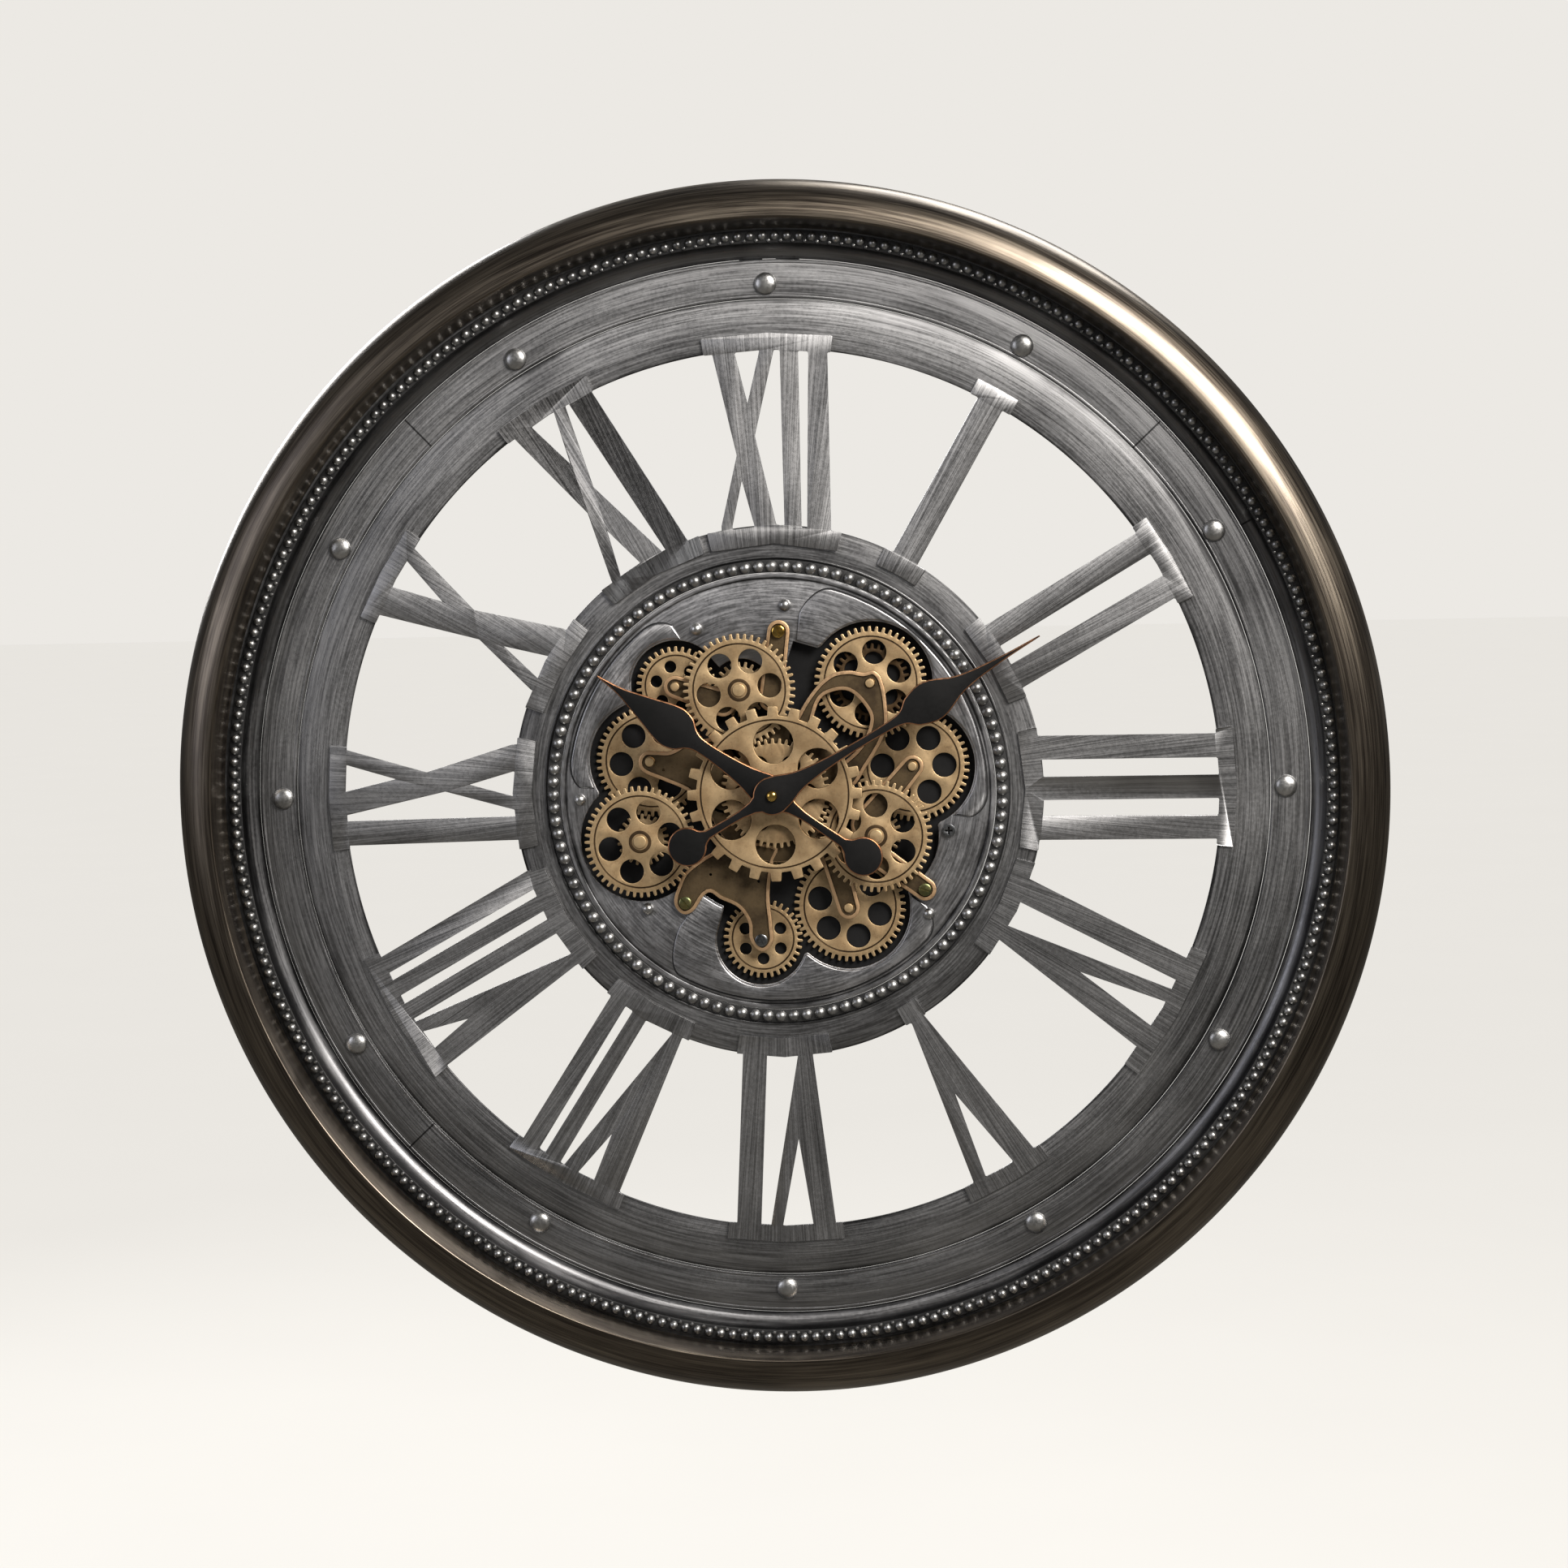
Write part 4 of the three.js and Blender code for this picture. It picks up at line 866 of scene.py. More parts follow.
for node, wheel in WHEELS.items():
    axis = AXES[f"{node}_body"]
    at = tuple(axis.xy)
    back, front = LAYERS[wheel["layer"]]
    orbit, hole_radius, groove = STAMPINGS[wheel["teeth"]]
    bm = bmesh.new()
    outline = wheel_outline(bm, node, axis, wheel["teeth"], wheel["layer"])
    holes = hole_ring(at, 6, orbit, hole_radius, wheel["holes"])
    wheel_disc(bm, at, outline, back, front, holes, groove)
    for layer, teeth in wheel["pinions"]:
        low, high = LAYERS[layer]
        pinion = wheel_outline(bm, node, axis, teeth, layer)
        # Painted shade: a wide pinion lies hidden behind its wheel, so every face of it takes the dark groove
        # brass.
        if teeth > WIDE_PINION:
            pierced = hole_ring(at, 6, 14, 6.4, wheel["holes"])
            wheel_disc(bm, at, pinion, low, high, pierced, materials=(GROOVE, GROOVE, GROOVE))
        else:
            wheel_disc(bm, at, pinion, low, high)
    arbor_back, arbor_front = depths(node)
    if wheel["layer"] == "front":
        hub(bm, at, front, arbor_front)
        arbor_front = front
    turn(bm, flat_pin(ARBOR_RADIUS, arbor_back, arbor_front), 24, at, material=EDGE)
    keep(node.replace("gear_", "wheel_"), bm, GEAR_FINISH, [node], f"{node}_body")

# %% [markdown]
# ## The centre gear and its drive wheels
# The centre gear is the largest in sight. It has 24 square-cut teeth, six round windows and one
# engraved circle, and a long tube behind it carries the two drive wheels that show through the
# windows. Lightening holes in the front drive wheel let the bridge show through as well.

# %% Centre train
CENTRE_TEETH = 24
centre_front = depths("centre_gear")[1]
centre_low, centre_high = face_box("centre_gear")
CENTRE_TIP = centre_high.x
CENTRE_THICKNESS = 3
CENTRE_TOOTH_HEIGHT = 6
centre_root = CENTRE_TIP - CENTRE_TOOTH_HEIGHT
square_tooth = both_flanks([
    (centre_root, -0.5), (centre_root, -0.29), (centre_root + 0.5, -0.265),
    (CENTRE_TIP - 0.5, -0.215), (CENTRE_TIP, -0.19),
])
centre_layer = centre_front - CENTRE_THICKNESS
bm = bmesh.new()
outline = tooth_chain(bm, (0, 0), CENTRE_TEETH, square_tooth, 0.0, centre_layer)
WINDOW_RADIUS = 13.4
WINDOW_ORBIT = 33.4
CENTRE_GROOVE = 49
windows = hole_ring((0, 0), 6, WINDOW_ORBIT, WINDOW_RADIUS, 0)
wheel_disc(bm, (0, 0), outline, centre_layer, centre_front, windows, CENTRE_GROOVE)
tube_back = centre_low.z
TUBE_BORE = 5.3
TUBE_RADIUS = 7
tube = [(TUBE_BORE, tube_back), (TUBE_BORE, centre_front)]
tube += [(TUBE_RADIUS, centre_front), (TUBE_RADIUS, tube_back)]
turn(bm, tube, 40, material=EDGE)
turn(bm, rounded(7.2, 10, centre_front - 0.4, centre_front + 0.6, 0.4), 48, material=EDGE)
keep("centre_wheel", bm, GEAR_FINISH, ["centre_gear"], "centre_train")

TUBE_SEAT = 7.6
for node, teeth, holes in (
    ("drive_wheel_rear", 66, hole_ring((0, 0), 8, 30, 7, 10)),
    ("drive_wheel_front", 47, hole_ring((0, 0), 6, 21.5, 6.2, 30)),
):
    back, front = depths(node)
    layer = node.split("_")[-1]
    bm = bmesh.new()
    outline = wheel_outline(bm, node, Vector((0, 0, 0)), teeth, layer)
    wheel_disc(bm, (0, 0), outline, back, front, holes + [((0, 0), TUBE_SEAT)])
    keep(node.replace("drive_wheel", "hidden_drive"), bm, GEAR_FINISH, [node], "centre_train")

# %% [markdown]
# ## The medallion
# The medallion's plate is cut out round the wheels. The cut's outline has a simple rule: in each
# direction from the centre it lies where the last of the wheels' clearances ends. Averaging it over
# a degree and a half rounds the points between two wheels, as a stamping tool would. Three raised
# panels with soft edges are embossed in the plate, five small rivets sit in it, and a step runs
# round its outside.

# %% Medallion outline
TIP_MARGIN = 3.6
PINION_MARGIN = 2
CENTRE_CUT = 84
plate_back, plate_front = depths("medallion_plate")
plate_radius = face_box("medallion_plate")[1].x
CUT_STEPS = 720
NOTCH = (6, 26, CENTRE_CUT + 17)


def ray_reach(direction, centre, radius):
    """How far out a ray from the clock's axis meets a circle, or 0 where it misses it."""
    along = direction.dot(centre)
    across = direction.cross(centre)
    if abs(across) > radius:
        return 0.0
    return along + math.sqrt(radius * radius - across * across)


clearances = [(Vector((0, 0)), CENTRE_CUT)]
for node, wheel in WHEELS.items():
    teeth = wheel["teeth"]
    margin = TIP_MARGIN
    if node == "gear_top_left":
        teeth = wheel["pinions"][0][1]
        margin = PINION_MARGIN
    clearances.append((AXES[f"{node}_body"].xy, teeth * MODULE / 2 + TOOTH_TIP + margin))


def cut_radius(angle):
    """The radius of the medallion's cut-out at a clock angle in degrees."""
    direction = polar(angle, 1)
    reach = max(ray_reach(direction, centre, radius) for centre, radius in clearances)
    start, end, corner = NOTCH
    if start < angle % 360 < end:
        half = (end - start) / 2
        chord = corner * math.cos(math.radians(half))
        reach = max(reach, chord / math.cos(math.radians(angle % 360 - start - half)))
    return reach


raw_cut = [cut_radius(360 * i / CUT_STEPS) for i in range(CUT_STEPS)]
smooth_cut = [sum(raw_cut[(i + k) % CUT_STEPS] for k in (-2, -1, 0, 1)) / 4 for i in range(CUT_STEPS)]


def cut_point(index, extra=0.0):
    return polar(360 * index / CUT_STEPS, smooth_cut[index % CUT_STEPS] + extra)


print("cut-out between", round(min(smooth_cut), 1), "and", round(max(smooth_cut), 1), "mm")

# %% Medallion plate, panels and step
# A dark line of painted shade runs just inside the raised step at the plate's edge.
medallion_metal = gunmetal(
    "medallion_gunmetal", "#7b7b7d", "#c6c6c8", [(plate_radius - 3.6, 1.8)], roughness=0.4, cloud_scale=22.0,
)
PANELS = ((8.5, 98), (-88, -31), (128, 217))
PANEL_RADIUS = 139
PANEL_EASE = 16  # steps over which a panel's ends curve in
# A foot of painted shade a millimetre wider than the panel, then the panel: growth, back, front, edge,
# finish.
PANEL_SHEETS = ((1.1, -0.2, 0.15, 0.1, (1, 1, 1)), (0, 0, 1.3, 1.0, (0, 0, 1)))
panel_foot = plain_finish("panel_foot_painted_shade", "#2c2c2d", "#3c3c3d", 0.9, 0.55, 700, 0.05)
MEDALLION_RIVETS = ((8.1, 123.8), (-51, 109), (-131.8, -3.4), (-88, -77), (99.6, -82))
MEDALLION_RIVET_RADIUS = 4.1
bm = bmesh.new()
outer = hole(bm, (0, 0), plate_radius, plate_back, RING_STEPS)
inner = chain(bm, [cut_point(i) for i in range(CUT_STEPS)], plate_back)
thicken(bm, fill(bm, outer, inner), plate_back, plate_front, 0.5, 3, (0, 0, 0))
turn(bm, rounded(plate_radius - 3.4, plate_radius, plate_front - 0.3, plate_front + 0.9, 0.5))
for start, end in PANELS:
    first = round(start * CUT_STEPS / 360)
    last = round(end * CUT_STEPS / 360)
    for grow, low, high, radius, finish in PANEL_SHEETS:
        outline = []
        for i in range(first, last + 1):
            share = min(1, (i - first) / PANEL_EASE, (last - i) / PANEL_EASE)
            lift = math.sin(share * math.pi / 2) ** 0.8
            near = smooth_cut[i % CUT_STEPS] + 4
            reach = near + (PANEL_RADIUS - near) * (0.45 + 0.55 * lift)
            outline.append(polar(360 * i / CUT_STEPS, reach + grow))
        outline += [cut_point(i, 1.2) for i in range(last, first - 1, -1)]
        faces = fill(bm, chain(bm, outline, plate_front + low))
        thicken(bm, faces, plate_front + low, plate_front + high, radius, 3, finish)
for at in MEDALLION_RIVETS:
    turn(bm, dome(MEDALLION_RIVET_RADIUS, plate_front - 0.2, plate_front + 4.4), 24, at, material=2)
keep("medallion", bm, [medallion_metal, panel_foot, rivet_pewter], ["medallion_plate"])

# %% [markdown]
# ## Hub ring and pan
# The hub ring carries the feet of the numerals round the medallion. Behind the wheels lies a
# shallow black pan, which holds the rear bearings and makes every gap between the wheels dark.

# %% Hub ring and pan
hub_outer = face_box("hub_ring")[1].x
hub_back, hub_front = depths("hub_ring")
hub_inner = plate_radius + 0.3
# Painted shade darkens the hub ring along the inner bead trim's edge and along its own outer edge.
hub_metal = gunmetal("hub_ring_gunmetal", "#5c5c5d", "#a9a9aa", [(trim_outer, 2.4), (hub_outer, 2.0)])
bm = bmesh.new()
turn(bm, rounded(hub_inner, hub_outer, hub_back, hub_front, FACE_EDGE))
turn(bm, rounded(trim_outer + 0.6, trim_outer + 2.2, hub_front - 0.3, hub_front + 0.6, 0.4))
keep("hub_band", bm, [hub_metal], ["hub_ring"])

pan_back, pan_front = depths("gear_pan")
pan_outer = face_box("gear_pan")[1].x
BUSH_HOLE = 5.4
pan_profile = [(BUSH_HOLE, pan_back), (BUSH_HOLE, pan_back + SHEET)]
pan_profile += arc((pan_outer - SHEET - 3, pan_back + SHEET + 3), (3, 3), -90, 0, 5)
pan_profile += [(pan_outer - SHEET, pan_front), (pan_outer, pan_front)]
pan_profile += arc((pan_outer - 4, pan_back + 4), (4, 4), 0, -90, 5)
bm = bmesh.new()
turn(bm, pan_profile)
for body, axis in AXES.items():
    if body.startswith("gear_"):
        turn(bm, rounded(3.9, 6.4, pan_back + SHEET - 0.2, pan_back + SHEET + 0.8, 0.3), 28, axis.xy)
keep("pan", bm, [black_enamel], ["gear_pan"])

# %% [markdown]
# ## The spider bridge
# The bridge holds the front ends of the arbors. It is pressed brass: each arm has a raised,
# rounded rim that the polishing wheel has brightened, and a sunken floor that kept the dark
# patina. The arms run in under the centre gear, so each is made as an outline of its own, smooth
# through a few points, or as two arcs joined by straight sides.

# %% Bridge outlines
BRIDGE_FRONT = depths("spider_bridge")[1]
BRIDGE_BACK = BRIDGE_FRONT - 2.5
RIM_WIDTH = 2.3
FLOOR_DROP = 1.2


def pill(start, end, start_radius, end_radius, steps=12):
    """A straight arm between two round ends."""
    start, end = Vector(start[:2]), Vector(end[:2])
    run = end - start
    turn_angle = math.degrees(math.atan2(run.y, run.x))
    lean = math.degrees(math.acos((start_radius - end_radius) / run.length))
    first = arc(start, (start_radius, start_radius), turn_angle + lean, turn_angle + 360 - lean, steps)
    second = arc(end, (end_radius, end_radius), turn_angle - lean, turn_angle + lean, steps)
    return first + second


CURVE_STEPS = 5


def smooth_span(before, here, there, after):
    """A Bezier curve from one point towards the next, which leaves and arrives by their neighbours."""
    reach = (there - here).length / 3
    leave = here + (there - before).normalized() * reach
    arrive = there - (after - here).normalized() * reach
    curve = interpolate_bezier(here, leave, arrive, there, CURVE_STEPS + 1)
    return [tuple(point.xy) for point in curve[:-1]]


def smooth_outline(points):
    """A closed outline that passes smoothly through its points."""
    count = len(points)
    vectors = [Vector((point[0], point[1], 0)) for point in points]
    outline = []
    for i in range(count):
        outline += smooth_span(*(vectors[(i + k) % count] for k in (-1, 0, 1, 2)))
    return outline


def pressed_arm(bm, outline, holes=(), back=BRIDGE_BACK, front=BRIDGE_FRONT, rim=RIM_WIDTH):
    """A bridge arm: a raised rim round a sunken floor."""
    base = fill(bm, chain(bm, outline, back))
    top = thicken(bm, base, back, front, 0.5, 2, (0, 0, 1))
    press_in(bm, top, rim - 0.5, FLOOR_DROP, 0.5, material=0, floor=1)
    if not holes:
        return
    circles = []
    for sheet, depth in ((top, front - FLOOR_DROP), (base, back)):
        inside = set(sheet)
        edges = {edge for face in sheet for edge in face.edges}
        border = [edge for edge in edges if len(inside.intersection(edge.link_faces)) == 1]
        bmesh.ops.delete(bm, geom=sheet, context="FACES")
        circles.append([hole(bm, centre, radius, depth, 20) for centre, radius in holes])
        for face in fill(bm, border, *circles[-1]):
            face.material_index = 1
    for upper, lower in zip(*circles):
        for face in bmesh.ops.bridge_loops(bm, edges=upper + lower)["faces"]:
            face.material_index = 1


# %% Bridge
pivot = {body: axis.xy for body, axis in AXES.items()}
ARM_END = 7.4
BEARING = 3.6
PLATE_RADIUS = 46
PLATE_BORE = 8.5
TABS = {
    "top": face_box("bridge_screw_top"),
    "right": face_box("bridge_screw_right"),
    "left": face_box("bridge_screw_left"),
}
tab_at = {name: ((low + high) / 2).xy for name, (low, high) in TABS.items()}
bm = bmesh.new()
bridge_plate = hole(bm, (0, 0), PLATE_RADIUS, BRIDGE_BACK, 96)
plate_bore = hole(bm, (0, 0), PLATE_BORE, BRIDGE_BACK, 40)
thicken(bm, fill(bm, bridge_plate, plate_bore), BRIDGE_BACK, BRIDGE_FRONT, 0.4, 2, (1, 0, 1))
ARMS = (
    ("gear_small_upper_body", Vector((-34, 60)), 9),
    ("gear_right_body", Vector((58, -22)), 9),
    ("gear_bottom_right_body", Vector((34, -30)), 9),
)
for body, inner_end, inner_radius in ARMS:
    pressed_arm(bm, pill(inner_end, pivot[body], inner_radius, ARM_END), [(pivot[body], BEARING)])
for name, inner_end in (("top", Vector((-2, 62))), ("right", Vector((66, -42)))):
    pressed_arm(bm, pill(inner_end, tab_at[name], ARM_END + 0.6, ARM_END))
left_pivot = pivot["gear_left_body"]
pressed_arm(bm, smooth_outline([
    left_pivot + Vector((-7.4, 0.5)), left_pivot + Vector((-3.5, 6.6)), left_pivot + Vector((4, 7)),
    left_pivot + Vector((14, 7)), left_pivot + Vector((27, 13)), (-30, 34), (-22, 0), (-34, -14),
    left_pivot + Vector((24, -19)), left_pivot + Vector((8, -12)), left_pivot + Vector((-5, -6)),
]), [(left_pivot, BEARING), (left_pivot + Vector((9, -5.5)), 0.9)])
low_pivot = pivot["gear_small_lower_body"]
left_tab = tab_at["left"]
pressed_arm(bm, smooth_outline([
    low_pivot + Vector((-7.4, 0)), low_pivot + Vector((-8.5, 12)), low_pivot + Vector((-15, 22)),
    low_pivot + Vector((-27, 28)), (-47, -66), left_tab + Vector((5, -5.5)), left_tab + Vector((-2, -7.4)),
    left_tab + Vector((-7.4, -1)), left_tab + Vector((-6, 8)), (-60, -50), (-30, -34), (0, -36),
    low_pivot + Vector((9, 52)), low_pivot + Vector((6, 30)), low_pivot + Vector((7.4, 10)),
    low_pivot + Vector((7.2, -2)), low_pivot + Vector((0, -7.4)),
]), [(low_pivot, BEARING), ((-45, -54), 1.0), ((-13, -59), 1.0)])
high_pivot = pivot["gear_top_right_body"]
pressed_arm(bm, smooth_outline([
    high_pivot + Vector((3, 8)), high_pivot + Vector((-4, 7)), high_pivot + Vector((-14, 8.5)),
    high_pivot + Vector((-26, 6)), (25, 66), (13, 46), (10, 34), (22, 36), (26, 50), (31, 62),
    high_pivot + Vector((-24, -5)), high_pivot + Vector((-14, -5)), high_pivot + Vector((-5, -13)),
    high_pivot + Vector((0, -24)), high_pivot + Vector((-7, -41)), (40, 12), (48, 2), (60, 16),
    high_pivot + Vector((10, -32)), high_pivot + Vector((11, -16)), high_pivot + Vector((8, 2)),
]), [(high_pivot, BEARING)])
TAB_FOOT = 5.2
for at in tab_at.values():
    turn(bm, flat_pin(TAB_FOOT, plate_front + 0.3, BRIDGE_BACK + 0.5), 28, at, material=1)
keep("bridge", bm, [bridge_rim, bridge_floor], ["spider_bridge"])

# %% [markdown]
# ## Screws
# Cheese-head screws hold the bridge's tabs, and one more ends the lowest arbor. The slot is cut by
# sinking the faces between two parallel cuts across the head. A small screw with a cross recess
# sits in the medallion.

# %% Bridge screws


HEAD_ROUND = 0.6  # height of the rounded part of a screw's head


def slotted_head(bm, at, radius, back, front, angle, slot=0.9, drop=0.7):
    """A screw head with a rounded edge and a straight slot."""
    profile = arc((0, front - HEAD_ROUND), (radius, HEAD_ROUND), 90, 0, 4) + [(radius, back), (0, back)]
    fresh = turn(bm, profile, 32, at)
    across = Matrix.Rotation(math.radians(angle), 4, "Z") @ Vector((1, 0, 0))
    centre = Vector((at[0], at[1], 0))
    for side in (-1, 1):
        whole = [face for face in fresh if face.is_valid]
        geometry = list({item for face in whole for item in (*face.verts, *face.edges, face)})
        cut = bmesh.ops.bisect_plane(
            bm, geom=geometry, dist=0.0001, plane_co=centre + across * side * slot / 2, plane_no=across,
        )
        fresh = [item for item in cut["geom"] if isinstance(item, bmesh.types.BMFace)]
    top = []
    for face in fresh:
        middle = face.calc_center_median()
        if abs((middle - centre).dot(across)) < slot / 2 and middle.z > front - HEAD_ROUND - 0.02:
            top.append(face)
    made = bmesh.ops.extrude_face_region(bm, geom=top)
    bmesh.ops.delete(bm, geom=[face for face in top if face.is_valid], context="FACES_ONLY")
    for vert in {item for item in made["geom"] if isinstance(item, bmesh.types.BMVert)}:
        vert.co.z = front - drop - 0.1


for name, angle, metal in (("top", 10, nut_brass), ("right", 70, screw_brass), ("left", 40, screw_brass)):
    node = f"bridge_screw_{name}"
    low, high = TABS[name]
    at = tab_at[name]
    bm = bmesh.new()
    slotted_head(bm, at, (high.x - low.x) / 2, BRIDGE_FRONT - FLOOR_DROP, high.z, angle)
    turn(bm, [(0, BRIDGE_FRONT), (1.6, BRIDGE_FRONT), (1.6, low.z), (0, low.z)], 20, at)
    keep(f"tab_screw_{name}", bm, [metal], [node])

pivot_front = depths("gear_small_lower")[1]
bm = bmesh.new()
slotted_head(bm, low_pivot, 4.2, pivot_front - 0.3, pivot_front + 0.9, 25)
keep("lower_pivot_screw", bm, [screw_steel], [], "gear_small_lower_body")

CROSS_SCREW = Vector((113.7, -26.7))
CROSS_RADIUS = 4.4
cross = [(0.5, 0.5), (2.4, 0.5), (2.4, -0.5), (0.5, -0.5), (0.5, -2.4), (-0.5, -2.4),
         (-0.5, -0.5), (-2.4, -0.5), (-2.4, 0.5), (-0.5, 0.5), (-0.5, 2.4), (0.5, 2.4)]
bm = bmesh.new()
# The head's walls and the floor seen through its cross take the dark panel-foot finish: painted shade.
cross_cut = chain(bm, [CROSS_SCREW + Vector(corner) for corner in cross], plate_front)
head = fill(bm, hole(bm, CROSS_SCREW, CROSS_RADIUS, plate_front), cross_cut)
thicken(bm, head, plate_front, plate_front + 2.2, 0.4, 2, (0, 0, 1))
turn(bm, flat_pin(CROSS_RADIUS - 0.6, plate_front - 0.4, plate_front + 0.6, 0.1), 24, CROSS_SCREW, material=1)
keep("medallion_screw", bm, [screw_steel, panel_foot], [])

# %% [markdown]
# ## Numerals
# The frame's numerals already have their right outlines, so each is copied, welded, and freed of
# the triangles inside its flat faces. The bevel operator then rounds the upright corners, as a
# laser cutter leaves them, and breaks the front edges.

# %% Numerals


def solid_copy(node):
    """A welded copy of a frame part on the face, with its flat faces whole again."""
    bm = bmesh.new()
    bm.from_mesh(frame["nodes"][node].data)
    bmesh.ops.transform(bm, matrix=TO_FACE, space=Matrix.Identity(4), verts=bm.verts)
    bmesh.ops.remove_doubles(bm, verts=bm.verts, dist=0.01)
    bmesh.ops.dissolve_limit(
        bm, angle_limit=math.radians(1), verts=bm.verts, edges=bm.edges,
        use_dissolve_boundaries=False, delimit=set(),
    )
    return bm


def bevel(bm, edges, offset, segments):
    return bmesh.ops.bevel(
        bm, geom=edges, offset=offset, offset_type="OFFSET", segments=segments, profile=0.5,
        affect="EDGES", clamp_overlap=True, material=-1,
    )


def upright(edge):
    """Whether an edge runs straight out of the wall."""
    run = edge.verts[1].co - edge.verts[0].co
    return abs(run.z) > 0.95 * run.length


def front_edges(bm, depth, sharp=40):
    """The sharp edges that lie at a depth."""
    return [
        edge for edge in bm.edges
        if all(abs(vert.co.z - depth) < 0.02 for vert in edge.verts)
        and len(edge.link_faces) == 2 and edge.calc_face_angle(0) > math.radians(sharp)
    ]


numeral_metal = gunmetal(
    "numeral_gunmetal", "#727273", "#bcbcbd", along="out", roughness=0.42, cloud_scale=16.0,
)
for number in range(1, 13):
    node = f"numeral_{number}"
    back, front = depths(node)
    bm = solid_copy(node)
    corners = [edge for edge in bm.edges if upright(edge) and edge.calc_face_angle(0) > math.radians(25)]
    bevel(bm, corners, 0.9, 3)
    bevel(bm, front_edges(bm, front), 0.35, 2)
    keep(f"roman_{number}", bm, [numeral_metal], [node])

# %% [markdown]
# ## Hands
# The spade hands are cut from sheet and enamelled black, with a copper edge that was polished
# bright. Half of each blade is given from the tip to the hub, as half widths at distances. The
# hub, the stem and the round counterweight follow, and the whole half outline is mirrored.

# %% Hands
MINUTE_ANGLE = 60
HOUR_ANGLE = 305
MINUTE_SIDE = [
    (0.5, 203.3), (2, 172), (5.6, 144), (13.4, 123), (10.4, 108),
    (4.6, 100), (2.9, 88), (3.1, 50), (6, 22), (11, 8),
]
HOUR_SIDE = [
    (0.5, 139.8), (2.6, 122), (8, 103), (14, 82), (12.4, 72),
    (7, 65), (4.9, 59), (5.1, 42), (7.4, 22), (11, 8),
]
HAND_THICKNESS = 1.5
HUB_RADIUS = 12.6
WEIGHT_RADIUS = 12.8
MINUTE_TAIL = 65.6
HOUR_TAIL = 71.5


def smooth_open(points):
    """A smooth line through points, from the first to the last."""
    vectors = [Vector((point[0], point[1], 0)) for point in points]
    last = len(vectors) - 1
    line = []
    for i in range(last):
        line += smooth_span(vectors[max(i - 1, 0)], vectors[i], vectors[i + 1], vectors[min(i + 2, last)])
    return line + [tuple(vectors[-1].xy)]


def hand(node, side, tail, stem, angle):
    """A hand's plate, turned to its clock angle, and the depths of its part in the frame."""
    back, front = depths(node)
    plate_low = front - HAND_THICKNESS
    right_half = smooth_open(side)
    right_half += arc((0, 0), (HUB_RADIUS, HUB_RADIUS), 20, -62, 8)
    right_half += [(stem + 1.6, -15), (stem + 0.2, -24), (stem, -34)]
    right_half += [(stem + 0.4, -tail + 16), (stem + 2.2, -tail + 12.6)]
    right_half += arc((0, -tail), (WEIGHT_RADIUS, WEIGHT_RADIUS), 62, -88, 16)
    points = right_half + [(-x, y) for x, y in reversed(right_half)]
    spin = Matrix.Rotation(math.radians(-angle), 2)
    bm = bmesh.new()
    outline = chain(bm, [spin @ Vector(point) for point in points], plate_low)
    thicken(bm, fill(bm, outline), plate_low, front, 0.75, 3, (0, 1, 1))
    return bm, back, front


bm, back, front = hand("minute_hand", MINUTE_SIDE, MINUTE_TAIL, 2.6, MINUTE_ANGLE)
turn(bm, [(0, front - 0.4), (1.5, front - 0.4), (1.5, back), (0, back)], 20, material=0)
keep("hand_minute", bm, [hand_black, hand_copper], ["minute_hand"], "minute")
bm, back, front = hand("hour_hand", HOUR_SIDE, HOUR_TAIL, 2.8, HOUR_ANGLE)
turn(bm, [(2.2, front - 0.4), (3, front - 0.4), (3, back), (2.2, back)], 24, material=0)
keep("hand_hour", bm, [hand_black, hand_copper], ["hour_hand"], "hour")

nut_low, nut_high = face_box("hand_nut")
bm = bmesh.new()
turn(bm, dome(nut_high.x, nut_low.z, nut_high.z, 0.9, 9), 32)
keep("brass_nut", bm, [nut_brass], ["hand_nut"], "minute")

# %% [markdown]
# ## Movement, motor, cells and hanger
# Behind the pan a quartz movement drives the hands and a geared motor drives the wheels, each with
# one AA cell. They are moulded boxes whose edges have a small radius, so the frame's shapes are
# copied and bevelled. The hanger is a zinc-plated strap with a keyhole.

# %% Things behind the clock
for node, name, slot, material, radius in (
    ("quartz_movement", "movement_case", "black_plastic", black_plastic, 1.0),
    ("gear_motor", "motor_case", "black_plastic", black_plastic, 1.0),
    ("hanger_plate", "hanger", "screw_steel", hanger_steel, 0.35),
):
    bm = solid_copy(node)
    joined = [edge for edge in bm.edges if len(edge.link_faces) == 2]
    sharp = [edge for edge in joined if edge.calc_face_angle(0) > math.radians(60)]
    bevel(bm, sharp, radius, 3)
    keep(name, bm, [material], [node])

for node, name in (("clock_cell", "cell_for_hands"), ("motor_cell", "cell_for_motor")):
    low, high = face_box(node)
    middle = (low + high) / 2
    size = high - low
    end = max(size.x, size.y) / 2
    radius = size.z / 2
    cell_profile = [(0, end), (2.6, end), (2.7, end - 1), (radius - 1, end - 1.3), (radius, end - 2)]
    cell_profile += [(radius, 1 - end), (radius - 0.8, -end), (0, -end)]
    bm = bmesh.new()
    turn(bm, cell_profile, 40)
    for face in bm.faces:
        if abs(face.calc_center_median().z) > end - 1.6:
            face.material_index = 1
    along = Matrix.Rotation(math.radians(90), 4, "Y" if size.x > size.y else "X")
    place = Matrix.Translation(middle) @ along
    bmesh.ops.transform(bm, matrix=place, space=Matrix.Identity(4), verts=bm.verts)
    keep(name, bm, [cell_jacket, cell_zinc], [node])

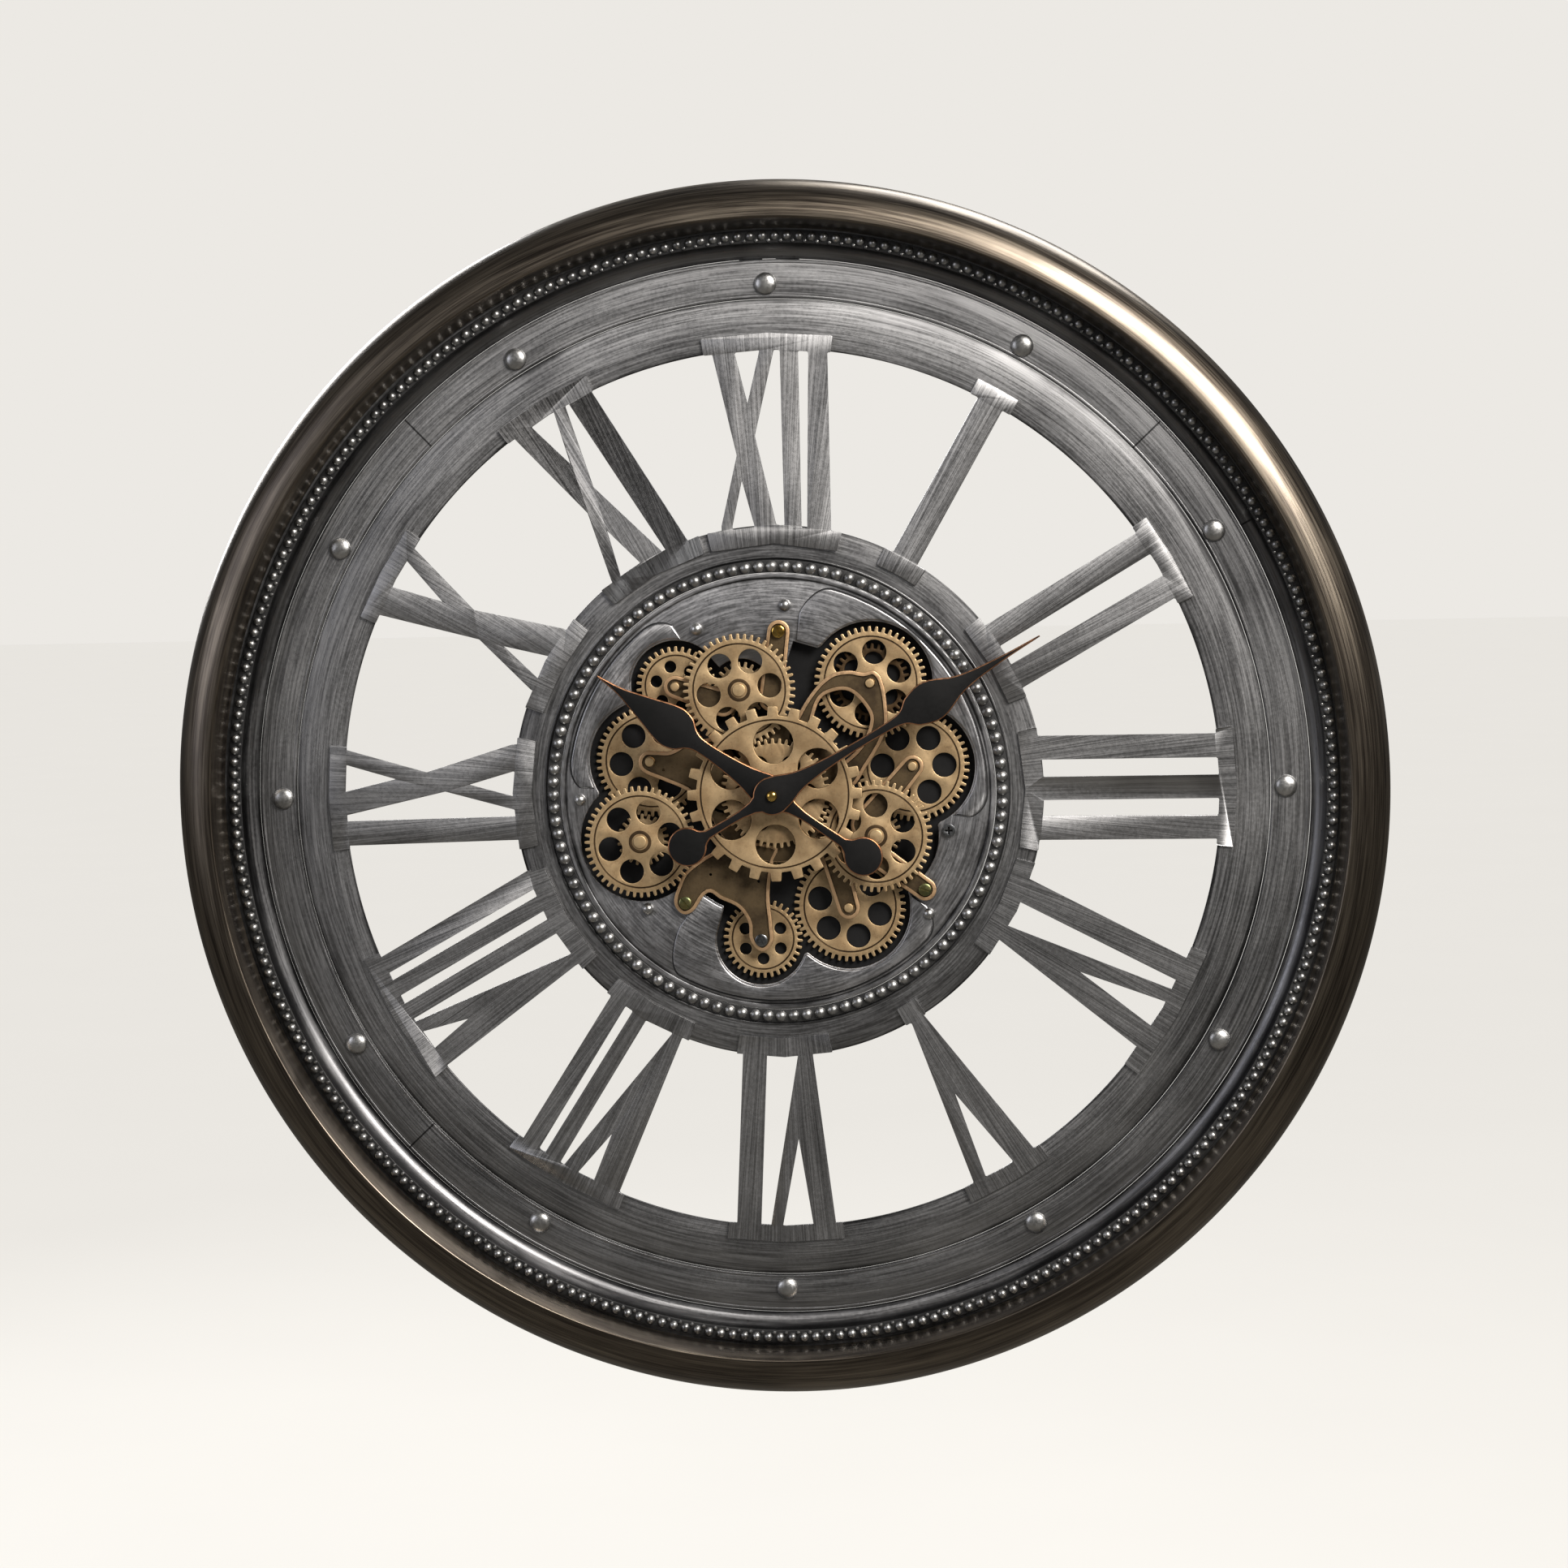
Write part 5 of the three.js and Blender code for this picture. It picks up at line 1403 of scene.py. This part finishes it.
knob_low, knob_high = face_box("set_knob")
knob_at = AXES["knob"].xy
KNOB_RIBS = 24
bm = bmesh.new()
rib = [(4.85, -0.5), (4.85, -0.2), (5.15, -0.12), (5.15, 0.12), (4.85, 0.2), (4.85, 0.5)]
outline = tooth_chain(bm, tuple(knob_at), KNOB_RIBS, rib, 0.0, knob_low.z)
thicken(bm, fill(bm, outline), knob_low.z, knob_low.z + 2.2, 0.2, 1, (0, 0, 0))
turn(bm, [(0, knob_high.z), (1.4, knob_high.z), (1.4, knob_low.z + 1), (0, knob_low.z + 1)], 20, knob_at)
keep("setting_knob", bm, [black_plastic], ["set_knob"], "knob")

# %% [markdown]
# ## Stage and light
# A plain pale floor lies well under the clock, which hangs on nothing but its keyhole here. One
# large lamp stands to the upper right in front of the clock. Its glow on the brushed rings fades
# towards the lower left. A weak second lamp keeps the far side readable. The floor glows faintly, so
# that it and the backdrop are one pale tone. The metal mirrors a darker room, as if black cloth hung
# out of sight.

# %% Stage and light
FLOOR_HEIGHT = -0.95
FLOOR_GLOW = 0.82
floor_at = Matrix.Translation((0, 0, FLOOR_HEIGHT))
bm = bmesh.new()
bmesh.ops.create_grid(bm, x_segments=8, y_segments=8, size=30, matrix=floor_at)
floor_mesh = bpy.data.meshes.new("floor")
bm.to_mesh(floor_mesh)
bm.free()
floor_paint, tree, position = start_material("pale_floor")
mottle = noise(tree, position, 3.0, 4.0)
in_metal = add(tree, "LightPath", output="Is Glossy Ray")
finish_material(tree, add(tree, "BsdfPrincipled", inputs={
    "Base Color": blend_colours(tree, in_metal, blend_colours(tree, mottle, "#6e6d6a", "#686764"), "#55534f"),
    "Emission Color": blend_colours(tree, in_metal, "#ece9e4", "#000000"), "Emission Strength": FLOOR_GLOW,
    "Roughness": 0.95, "Specular IOR Level": 0.1,
}))
floor_mesh.materials.append(floor_paint)
floor = bpy.data.objects.new("floor", floor_mesh)
bpy.context.scene.collection.objects.link(floor)

world = bpy.data.worlds.new("studio")
world.use_nodes = True
bpy.context.scene.world = world
tree = world.node_tree
tree.nodes.clear()
seen = add(tree, "Background", inputs={"Color": linear("#ece9e4"), "Strength": 1.0})
sky = add(tree, "Background", inputs={"Color": linear("#cfcecc"), "Strength": 0.17})
in_metal = add(tree, "LightPath", output="Is Glossy Ray")
mixed = add(tree, "MixShader", inputs={0: in_metal, 1: seen, 2: sky})
add(tree, "OutputWorld", inputs={"Surface": mixed})


def lamp(name, at, aim, size, power, colour):
    light = bpy.data.lights.new(name, "AREA")
    light.shape = "DISK"
    light.size = size
    light.energy = power
    light.color = linear(colour)[:3]
    made = bpy.data.objects.new(name, light)
    way = Vector(at) - Vector(aim)
    made.matrix_world = Matrix.Translation(Vector(at)) @ way.to_track_quat("Z", "Y").to_matrix().to_4x4()
    bpy.context.scene.collection.objects.link(made)


lamp("key_lamp", (1.0, -1.25, 1.1), (0.12, 0, 0.12), 1.0, 64, "#fffaf4")
lamp("fill_lamp", (-2.2, -1.4, 0.6), (0, 0, 0), 1.6, 12, "#f4f5ff")
lamp("rim_lamp", (0.6, 0.9, 1.9), (0, 0, 0.1), 1.2, 30, "#ffffff")
lamp("back_lamp", (-1.5, 1.9, 1.0), (0, 0, 0), 1.4, 55, "#ffffff")
bpy.context.scene.view_settings.view_transform = "Standard"
faces = sum(len(piece.data.polygons) for piece in made_pieces)
print("pieces:", len(made_pieces), "faces:", faces)
